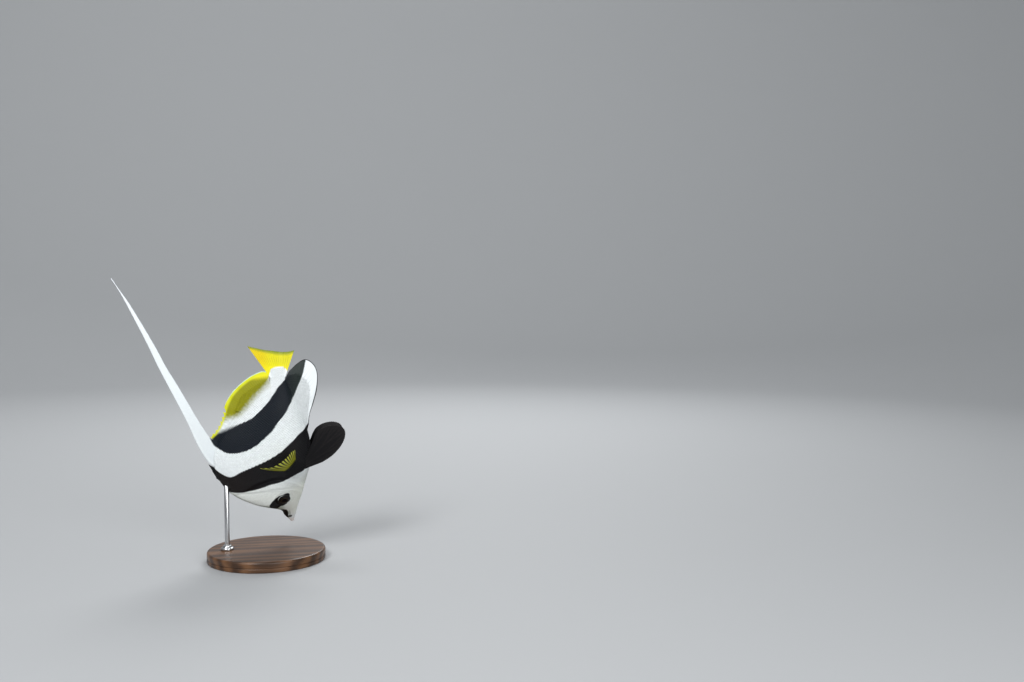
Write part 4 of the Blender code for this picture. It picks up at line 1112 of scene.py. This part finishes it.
def makePectoral(finish, side, word):
    # a fan on the flank: each ray leaves along a direction between the first ray's and the last's
    x = np.linspace(0, 1, pectoral["rays"] * rayColumns["pectoral"])
    w = (np.linspace(0, 1, finRows["pectoral"]) ** 1.05)[:, None]
    place = np.array(pectoral["root"][0]) + np.outer(x, np.subtract(pectoral["root"][1], pectoral["root"][0]))
    start = np.stack([place[:, 0], side * (flank(place[:, 0], place[:, 1]) - 0.7), place[:, 1]], -1)
    ray = spline(pectoral["reach"], x * (len(pectoral["reach"]) - 1))
    ray = np.stack([ray[:, 0], -side * ray[:, 2], ray[:, 1]], -1)
    count = 0.5 + x * (pectoral["rays"] - 1)
    cell = count % 1 - 0.5
    ridge = branched(cell[None], w, 0, 0.28)
    share = w * (1 - 0.035 * (1 - branched(cell, np.ones(cell.shape), 2, 0.11)))
    middle = start + ray * share[..., None]
    middle[..., 1] += side * pectoral["bow"] * np.sin(math.pi * share)
    away = share * np.linalg.norm(ray, axis=1)
    half = 0.10 + 0.26 * ridge * (1 - 0.7 * share) + 1.2 * np.exp(-away / 2.4)
    half *= 1 - 0.6 * ramp(share, 0.94, 1)
    makeSheet("pectoral_fine_" + word, middle, half, sheetNormal(middle), finish,
              ("pectoral_fin_" + word,), share, ridge, (1 - share) * np.linalg.norm(ray, axis=1), "plain")


def finFinish():
    finish = Finish("marked fin finish", Coat_Weight=0.08, Coat_Roughness=0.3, Specular_IOR_Level=0.16)
    down, ridge, margin = finish.split("fin")
    s, _, h = finish.split("fishPlace")
    place = finish.attribute("fishPlace")
    grain = finish.noise(place, 0.9, 3.0)
    joints = (down * 190.0).sine() * ridge * down.smooth(0.25, 0.5)
    # tone lifts the rays a little; the shade argument paints shade in the grooves between them, deeper
    # towards the margin
    colour = fishColour(finish, (grain - 0.5) * 0.1 + (ridge - 0.4) * 0.10, (1.0 - ridge) * down * 0.25)
    # the dorsal fin has a yellow rim and a pale edge, the anal fin a dark one; the nape's spines are black
    dorsalPart = h.smooth(4.0, 10.0) * (s - 100.0).smooth(0.0, 6.0)
    rimYellow = dorsalPart * (4.8 - margin).smooth(0.0, 2.8)
    colour = finish.blend(rimYellow * 0.9, colour, colours["finEdge"])
    paleEdge = dorsalPart * (1.1 - margin).smooth(0.0, 0.6) * (s - 140.0).smooth(0.0, 12.0)
    colour = finish.blend(paleEdge * 0.8, colour, colours["paleRim"])
    analPart = 1.0 - h.smooth(-12.0, -8.0)
    darkMargin = analPart * ((168.0 - s).smooth(0.0, 50.0) * 2.6 + 1.0 - margin).smooth(-0.3, 0.3)
    colour = finish.blend(darkMargin, colour, colours["jet"])
    front = (82.0 - s).smooth(0.0, 2.0) * h.smooth(60.0, 62.0)
    colour = finish.blend(front, colour, colours["jet"])
    return finish.set(Base_Color=colour, Roughness=0.36 + grain * 0.15,
                      Normal=finish.bump(joints * 0.6 + grain * 0.4, 0.25, 0.0002))


def tailFinish():
    finish = Finish("tail fin finish", Coat_Weight=0.08, Coat_Roughness=0.3, Specular_IOR_Level=0.16)
    down, ridge, margin = finish.split("fin")
    s, _, h = finish.split("fishPlace")
    place = finish.attribute("fishPlace")
    grain = finish.noise(place, 0.9, 3.0)
    joints = (down * 150.0).sine() * ridge
    upper = (h - 3.0).smooth(0.0, 14.0)
    yellow = finish.blend(upper * down.smooth(0.15, 0.6) * 0.6, colours["yellow"], colours["gold"])
    web = (0.75 - ridge).smooth(0.0, 0.6) * down.smooth(0.2, 0.9) * 0.62
    yellow = finish.blend(web, yellow, colours["webYellow"])
    green = (5.5 - margin + (grain - 0.5) * 3.0).smooth(0.0, 5.0)
    yellow = finish.blend(green * 0.9, yellow, colours["tailEdge"])
    # white in front of the edge s = 172.8 - 5 q², where q = 0.0129 (h + 0.6)²
    squared = (h + 0.6) * (h + 0.6) * 0.0129
    tongue = s - 172.8 + squared * squared * 5.0 + (grain - 0.5) * 2.0
    colour = finish.blend(tongue.smooth(-1.2, 1.2), colours["white"], yellow)
    return finish.set(Base_Color=colour, Roughness=0.36 + grain * 0.15,
                      Alpha=1.0 - (1.4 - margin).smooth(0.0, 1.4) * (1.0 - ridge) * 0.5,
                      Normal=finish.bump(joints * 0.6 + grain * 0.4, 0.25, 0.0002))


def bannerFinish():
    finish = Finish("banner finish", Coat_Weight=0.08, Coat_Roughness=0.3, Specular_IOR_Level=0.2)
    down, ridge, margin = finish.split("fin")
    first, second, _ = finish.split("bands")
    place = finish.attribute("fishPlace")
    grain = finish.noise(place, 0.5, 4.0)
    # painted shade in the grooves between spine and striae, with noise mottle on top
    groove = (1.0 - ridge) * 0.35 + (grain - 0.5) * 0.4
    colour = finish.blend(groove, colours["white"], colours["bannerShade"])
    colour = finish.blend(down.smooth(0.5, 1.0) * 0.25, colour, colours["bannerTip"])
    colour = finish.blend((0.6 - margin).smooth(0.0, 0.6) * 0.4, colour, colours["bannerEdge"])
    foot = 1.0 - down.smooth(0.035, 0.06)
    band = foot * (second + (grain - 0.5) * 1.5).smooth(-0.8, 0.8)
    colour = finish.blend(band, colour, colours["blueBlack"])
    colour = finish.blend(foot * first.smooth(-0.5, 0.5), colour, colours["jet"])
    return finish.set(Base_Color=colour, Roughness=0.36 + grain * 0.15,
                      Normal=finish.bump(grain, 0.2, 0.0002))


def pelvicFinish():
    finish = Finish("pelvic fin finish", Coat_Weight=0.05, Coat_Roughness=0.3, Specular_IOR_Level=0.12)
    down, ridge, _ = finish.split("fin")
    grain = finish.noise(finish.attribute("fishPlace"), 0.8, 3.0)
    colour = finish.blend(ridge * 0.5 + grain * 0.3, colours["jet"], colours["pelvicRay"])
    return finish.set(Base_Color=colour, Roughness=0.40 + grain * 0.15,
                      Normal=finish.bump((down * 170.0).sine() * ridge + grain, 0.25, 0.0002))


def pectoralFinish():
    finish = Finish("pectoral fin finish", Coat_Weight=0.08, Coat_Roughness=0.3, Specular_IOR_Level=0.16)
    down, ridge, _ = finish.split("fin")
    grain = finish.noise(finish.attribute("fishPlace"), 0.8, 3.0)
    ray = finish.blend(down.smooth(0.55, 1.0), colours["pectoralRay"], colours["pectoralTip"])
    web = finish.blend(down.smooth(0.35, 0.85), colours["amber"], colours["pectoralWeb"])
    colour = finish.blend(ridge.smooth(0.25, 0.7), web, ray)
    colour = finish.blend((0.16 - down).smooth(0.0, 0.10), colour, colours["jet"])
    return finish.set(Base_Color=colour, Roughness=0.36 + grain * 0.15,
                      Alpha=1.0 - (1.0 - ridge.smooth(0.2, 0.6)) * down.smooth(0.35, 0.9) * 0.35,
                      Normal=finish.bump((down * 120.0).sine() * ridge + grain * 0.4, 0.25, 0.0002))


# Eyes

def makeEye(finish, side, word):
    # an ellipsoid grid by angle from its outward pole, a little fuller at the front as a cornea is
    s, h = face["eye"]
    spot = np.array([s, side * flank(s, h), h])
    tailward = np.array([2.0, side * (flank(s + 1, h) - flank(s - 1, h)), 0.0])
    upward = np.array([0.0, side * (flank(s, h + 1) - flank(s, h - 1)), 2.0])
    tailward, upward = (v / np.linalg.norm(v) for v in (tailward, upward))
    outward = np.cross(tailward, upward)
    outward *= np.sign(outward[1] * side) / np.linalg.norm(outward)
    upward = np.cross(outward, tailward)
    tilt, turn = np.meshgrid(np.linspace(0.02, math.pi - 0.02, 90),
                             np.linspace(0, 2 * math.pi, 96, endpoint=False), indexing="ij")
    reach = np.sin(tilt) * face["eyeRadius"]
    cornea = face["cornea"] * np.exp(-(reach / 3.4) ** 2) * (tilt < math.pi / 2)
    proud = np.cos(tilt) * face["eyeHalfDepth"] + cornea
    centre = spot + outward * (face["eyeProud"] - face["eyeHalfDepth"])
    place = (centre + outward * proud[..., None] + tailward * (reach * np.cos(turn))[..., None]
             + upward * (reach * np.sin(turn))[..., None])
    rows, columns = tilt.shape
    poles = np.stack([centre + outward * proud[0, 0], centre - outward * face["eyeHalfDepth"]])
    points = np.concatenate([place.reshape(-1, 3), poles])
    size = rows * columns
    look, flatPlace = np.zeros((size + 2, 3)), np.zeros((size + 2, 3))
    look[:size, 0] = reach.ravel()
    flatPlace[:size, 0] = (reach * np.cos(turn)).ravel()
    flatPlace[:size, 1] = (reach * np.sin(turn)).ravel()
    faces = [gridQuads(rows, columns, closed=True), poleFans(size, columns)]
    makePiece("eye_fine_" + word, posed(points), faces, finish, ("eye_" + word,),
              {"look": look, "eyePlace": flatPlace})


def eyeFinish():
    finish = Finish("eye finish", Roughness=0.12, Coat_Weight=0.22, Coat_Roughness=0.04,
                    Specular_IOR_Level=0.08)
    reach, _, _ = finish.split("look")
    x, y, _ = finish.split("eyePlace")
    place = finish.attribute("eyePlace")
    fleck = finish.noise(place, 0.9, 4.0, 0.6)
    radius = ((x + 0.35) ** 2.0 + y * y) ** 0.5
    iris = finish.blend(fleck.smooth(0.35, 0.7), colours["iris"], colours["irisFleck"])
    # painted highlight: the pale band near the eye's rim shows only on its upper tailward side
    arc = (x * 0.71 + y * 0.71).smooth(3.6, 6.0)
    ring = (reach - 5.75).smooth(0.0, 0.4) * (fleck.smooth(0.1, 0.5) * 0.25 + 0.75) * (arc * 0.95 + 0.03)
    iris = finish.blend(ring, iris, colours["eyeRimHighlight"])
    inner = 1.0 - abs(reach - 3.1).smooth(0.06, 0.26)
    iris = finish.blend(inner * 0.6, iris, colours["irisRing"])
    colour = finish.blend((2.9 - radius).smooth(-0.12, 0.12), iris, colours["pupil"])
    colour = finish.blend((reach - 6.35).smooth(0.0, 0.3), colour, colours["eyeRim"])
    return finish.set(Base_Color=colour)


# Stand

stand = {
    "radius": 60.0,
    "thickness": 11.0,
    "bevel": 2.2,
    "baseSides": 168,
    "rodRadius": 2.5,
    "rodTop": (60.0, 62.0),     # s and h of the rod's upper end
    "sunk": 6.0,                # how far the rod goes down into the base
    "rodSides": 48,
    "collarRadius": 6.5,
    "collarHeight": 5.0,
    "collarSides": 64,
    "woodDark": (0.040, 0.019, 0.009),
    "woodMiddle": (0.078, 0.036, 0.016),
    "woodPale": (0.130, 0.062, 0.027),
    "steelDark": (0.46, 0.47, 0.48),
    "steelPale": (0.62, 0.63, 0.64),
}


def turned(name, profile, centre, sides, finish, replaced):
    # a profile of (radius, z) turned about an upright line, closed by a fan at both ends
    rows = np.array(profile, float)
    angle = np.linspace(0, 2 * math.pi, sides, endpoint=False)
    ring = np.stack([centre[0] + rows[:, 0:1] * np.cos(angle), centre[1] + rows[:, 0:1] * np.sin(angle),
                     rows[:, 1:2] * np.ones(sides)], -1).reshape(-1, 3)
    poles = [[centre[0], centre[1], rows[0, 1]], [centre[0], centre[1], rows[-1, 1]]]
    faces = [gridQuads(len(rows), sides, closed=True), poleFans(len(ring), sides)]
    makePiece(name, np.vstack([ring, poles]) * mm, faces, finish, replaced)


def corner(radius, z, size, start, end, count=9):
    # a quarter round between two angles in degrees, about a centre (radius, z)
    angle = np.radians(np.linspace(start, end, count))
    return [(radius + size * math.cos(a), z + size * math.sin(a)) for a in angle]


def makeStand(wood, steel):
    radius, top, bevel = stand["radius"], stand["thickness"], stand["bevel"]
    edge = ([(r, 0.0) for r in (8.0, 30.0, radius - 3.0)] + corner(radius - 1.0, 1.0, 1.0, -90, 0)
            + [(radius, 3.4)] + corner(radius, 4.3, 0.7, -90, -270, 7) + [(radius, 5.2)]
            + corner(radius - bevel, top - bevel, bevel, 0, 90, 13)
            + [(r, top) for r in (radius - 6.0, 40.0, 20.0, 8.0)])
    turned("stand_base_fine", edge, (0, 0), stand["baseSides"], wood, ("stand_base",))
    rodPlace = posed(np.array([stand["rodTop"][0], 0.0, stand["rodTop"][1]])) / mm
    low = top - stand["sunk"]
    rod = stand["rodRadius"]
    turned("stand_rod_fine", [(rod - 0.4, low), (rod, low + 0.4), (rod, 20.0), (rod, 26.0),
                              (rod, rodPlace[2] - 0.4), (rod - 0.4, rodPlace[2])],
           rodPlace[:2], stand["rodSides"], steel, ("stand_rod",))
    foot, wide, high = top + 0.02, stand["collarRadius"], stand["collarHeight"]
    collar = ([(wide - 2.0, foot), (wide, foot), (wide, foot + 1.0)]
              + corner(wide - 1.2, foot + 1.6, 1.2, 0, 60, 6) + [(4.4, foot + 3.0)]
              + corner(rod + 1.2, foot + high - 0.6, 0.6, 10, 90, 6) + [(rod + 0.05, foot + high)])
    turned("stand_collar_fine", collar, rodPlace[:2], stand["collarSides"], steel,
           ("stand_collar",))
    print("stand made")


def woodFinish():
    finish = Finish("dark turned wood", Coat_Weight=0.18, Coat_Roughness=0.3, Specular_IOR_Level=0.3)
    place = finish.objectPlace()
    stretched = finish.node("ShaderNodeMapping", inputs={"Vector": place, "Scale": (1.0, 9.0, 9.0),
                                                         "Rotation": (0.0, 0.05, 0.3)})
    warp = finish.noise(stretched, 6.0, 3.0)
    shift = finish.node("ShaderNodeCombineXYZ", inputs={0: warp * 0.05, 1: warp * 0.16, 2: warp * 0.1})
    moved = finish.node("ShaderNodeVectorMath", {"operation": "ADD"}, {0: stretched, 1: shift})
    rings = finish.node("ShaderNodeTexWave", {"wave_type": "RINGS", "rings_direction": "X"},
                        {"Vector": moved, "Scale": 3.4, "Distortion": 2.2, "Detail": 3.0,
                         "Detail Scale": 1.4})
    fine = finish.node("ShaderNodeMapping", inputs={"Vector": stretched, "Scale": (6.0, 60.0, 60.0)})
    fibre = finish.noise(fine, 9.0, 4.0, 0.6)
    grain = rings * 0.65 + fibre * 0.35
    stops = ((0.2, stand["woodDark"]), (0.8, stand["woodPale"]), (0.5, stand["woodMiddle"]))
    colour = finish.node("ShaderNodeValToRGB", {"stops": stops}, {0: grain})
    return finish.set(Base_Color=colour, Roughness=0.30 + fibre * 0.18,
                      Normal=finish.bump(fibre, 0.15, 0.0004))


def steelFinish():
    finish = Finish("brushed steel", Metallic=1.0, Specular_IOR_Level=0.5)
    place = finish.objectPlace()
    lathe = finish.node("ShaderNodeMapping", inputs={"Vector": place, "Scale": (30.0, 30.0, 2600.0)})
    turnedLines = finish.noise(lathe, 1.0, 2.0)
    cloud = finish.noise(place, 60.0, 2.0)
    colour = finish.blend(turnedLines, stand["steelDark"], stand["steelPale"])
    return finish.set(Base_Color=colour, Roughness=0.22 + turnedLines * 0.12 + cloud * 0.06,
                      Normal=finish.bump(turnedLines, 0.1, 0.0001))


# Floor, light and camera

studio = {
    "floorRadius": 2.0,
    "sweep": 1.4,
    "wallHeight": 3.2,
    "sides": 96,
    "floorColour": (0.345, 0.355, 0.365),
    "floorShade": (0.32, 0.33, 0.34),
    "worldColour": (0.86, 0.90, 0.94),
    "worldStrength": 0.42,
    # name, place, aimed at, size, watts
    "lamps": (("key", (-0.85, -1.2, 1.35), (0.0, 0.0, 0.12), 0.7, 30.0),
              ("fill", (0.6, -1.45, 0.58), (0.0, 0.0, 0.10), 0.9, 13.0),
              ("rim", (0.6, 1.3, 1.3), (0.0, 0.0, 0.15), 0.8, 16.0),
              ("backdrop", (0.0, 1.0, 2.6), (0.3, 3.2, 0.7), 1.6, 48.0)),
}


def makeStudio():
    # the floor runs out flat and then sweeps up all round, so no horizon shows
    flat, bend, high = studio["floorRadius"], studio["sweep"], studio["wallHeight"]
    sides = studio["sides"]
    angle = np.linspace(0, math.pi / 2, 25)
    radius = np.concatenate([[0.02, 0.3, 0.8], flat + bend * np.sin(angle), [flat + bend]])
    level = np.concatenate([[0, 0, 0], bend * (1 - np.cos(angle)), [high]])
    turn = np.linspace(0, 2 * math.pi, sides, endpoint=False)
    points = np.stack([radius[:, None] * np.cos(turn), radius[:, None] * np.sin(turn),
                       level[:, None] * np.ones(sides)], -1).reshape(-1, 3)
    mesh = bpy.data.meshes.new("floor")
    faces = gridQuads(len(radius), sides, closed=True)[:, ::-1].tolist() + [list(range(sides))]
    mesh.from_pydata(points.tolist(), [], faces)
    mesh.shade_smooth()
    floor = bpy.data.objects.new("floor", mesh)
    bpy.context.scene.collection.objects.link(floor)
    finish = Finish("floor finish", Roughness=0.75)
    shade = finish.noise(finish.objectPlace(), 3.0, 3.0)
    colour = finish.blend(shade * 0.2, studio["floorColour"], studio["floorShade"])
    mesh.materials.append(finish.set(Base_Color=colour))
    for name, place, aim, width, power in studio["lamps"]:
        lamp = bpy.data.lights.new(name, "AREA")
        lamp.shape, lamp.size, lamp.energy = "DISK", width, power
        holder = bpy.data.objects.new(name, lamp)
        holder.location = place
        way = np.subtract(aim, place)
        across = math.hypot(way[0], way[1])
        holder.rotation_euler = (math.atan2(across, -way[2]), 0.0, math.atan2(-way[0], way[1]))
        bpy.context.scene.collection.objects.link(holder)
    world = bpy.data.worlds.new("studio")
    world.use_nodes = True
    world.node_tree.nodes["Background"].inputs["Color"].default_value = (*studio["worldColour"], 1.0)
    world.node_tree.nodes["Background"].inputs["Strength"].default_value = studio["worldStrength"]
    bpy.context.scene.world = world
    bpy.context.scene.view_settings.view_transform = "Standard"


def makeCamera():
    lens = bpy.data.cameras.new("camera")
    lens.lens, lens.clip_start = view["lens"], 0.01
    camera = bpy.data.objects.new("camera", lens)
    camera.location = view["place"]
    camera.rotation_euler = (math.radians(90.0 - view["down"]), 0.0, -math.radians(view["aside"]))
    bpy.context.scene.collection.objects.link(camera)
    bpy.context.scene.camera = camera


makeCamera()
makeStudio()
print("camera, floor and lights made")
makeSkin(skinFinish())
scaly = scaleFinish()
makeScales(scaly)
makeMedianFins({"fin": finFinish(), "tail": tailFinish(), "scale": scaly})
makeBanner(bannerFinish())
blackFins, amberFins, eyes = pelvicFinish(), pectoralFinish(), eyeFinish()
for side, word in ((-1, "left"), (1, "right")):
    makePelvic(blackFins, side, word)
    makePectoral(amberFins, side, word)
    makeEye(eyes, side, word)
print("paired fins and eyes made")
makeStand(woodFinish(), steelFinish())
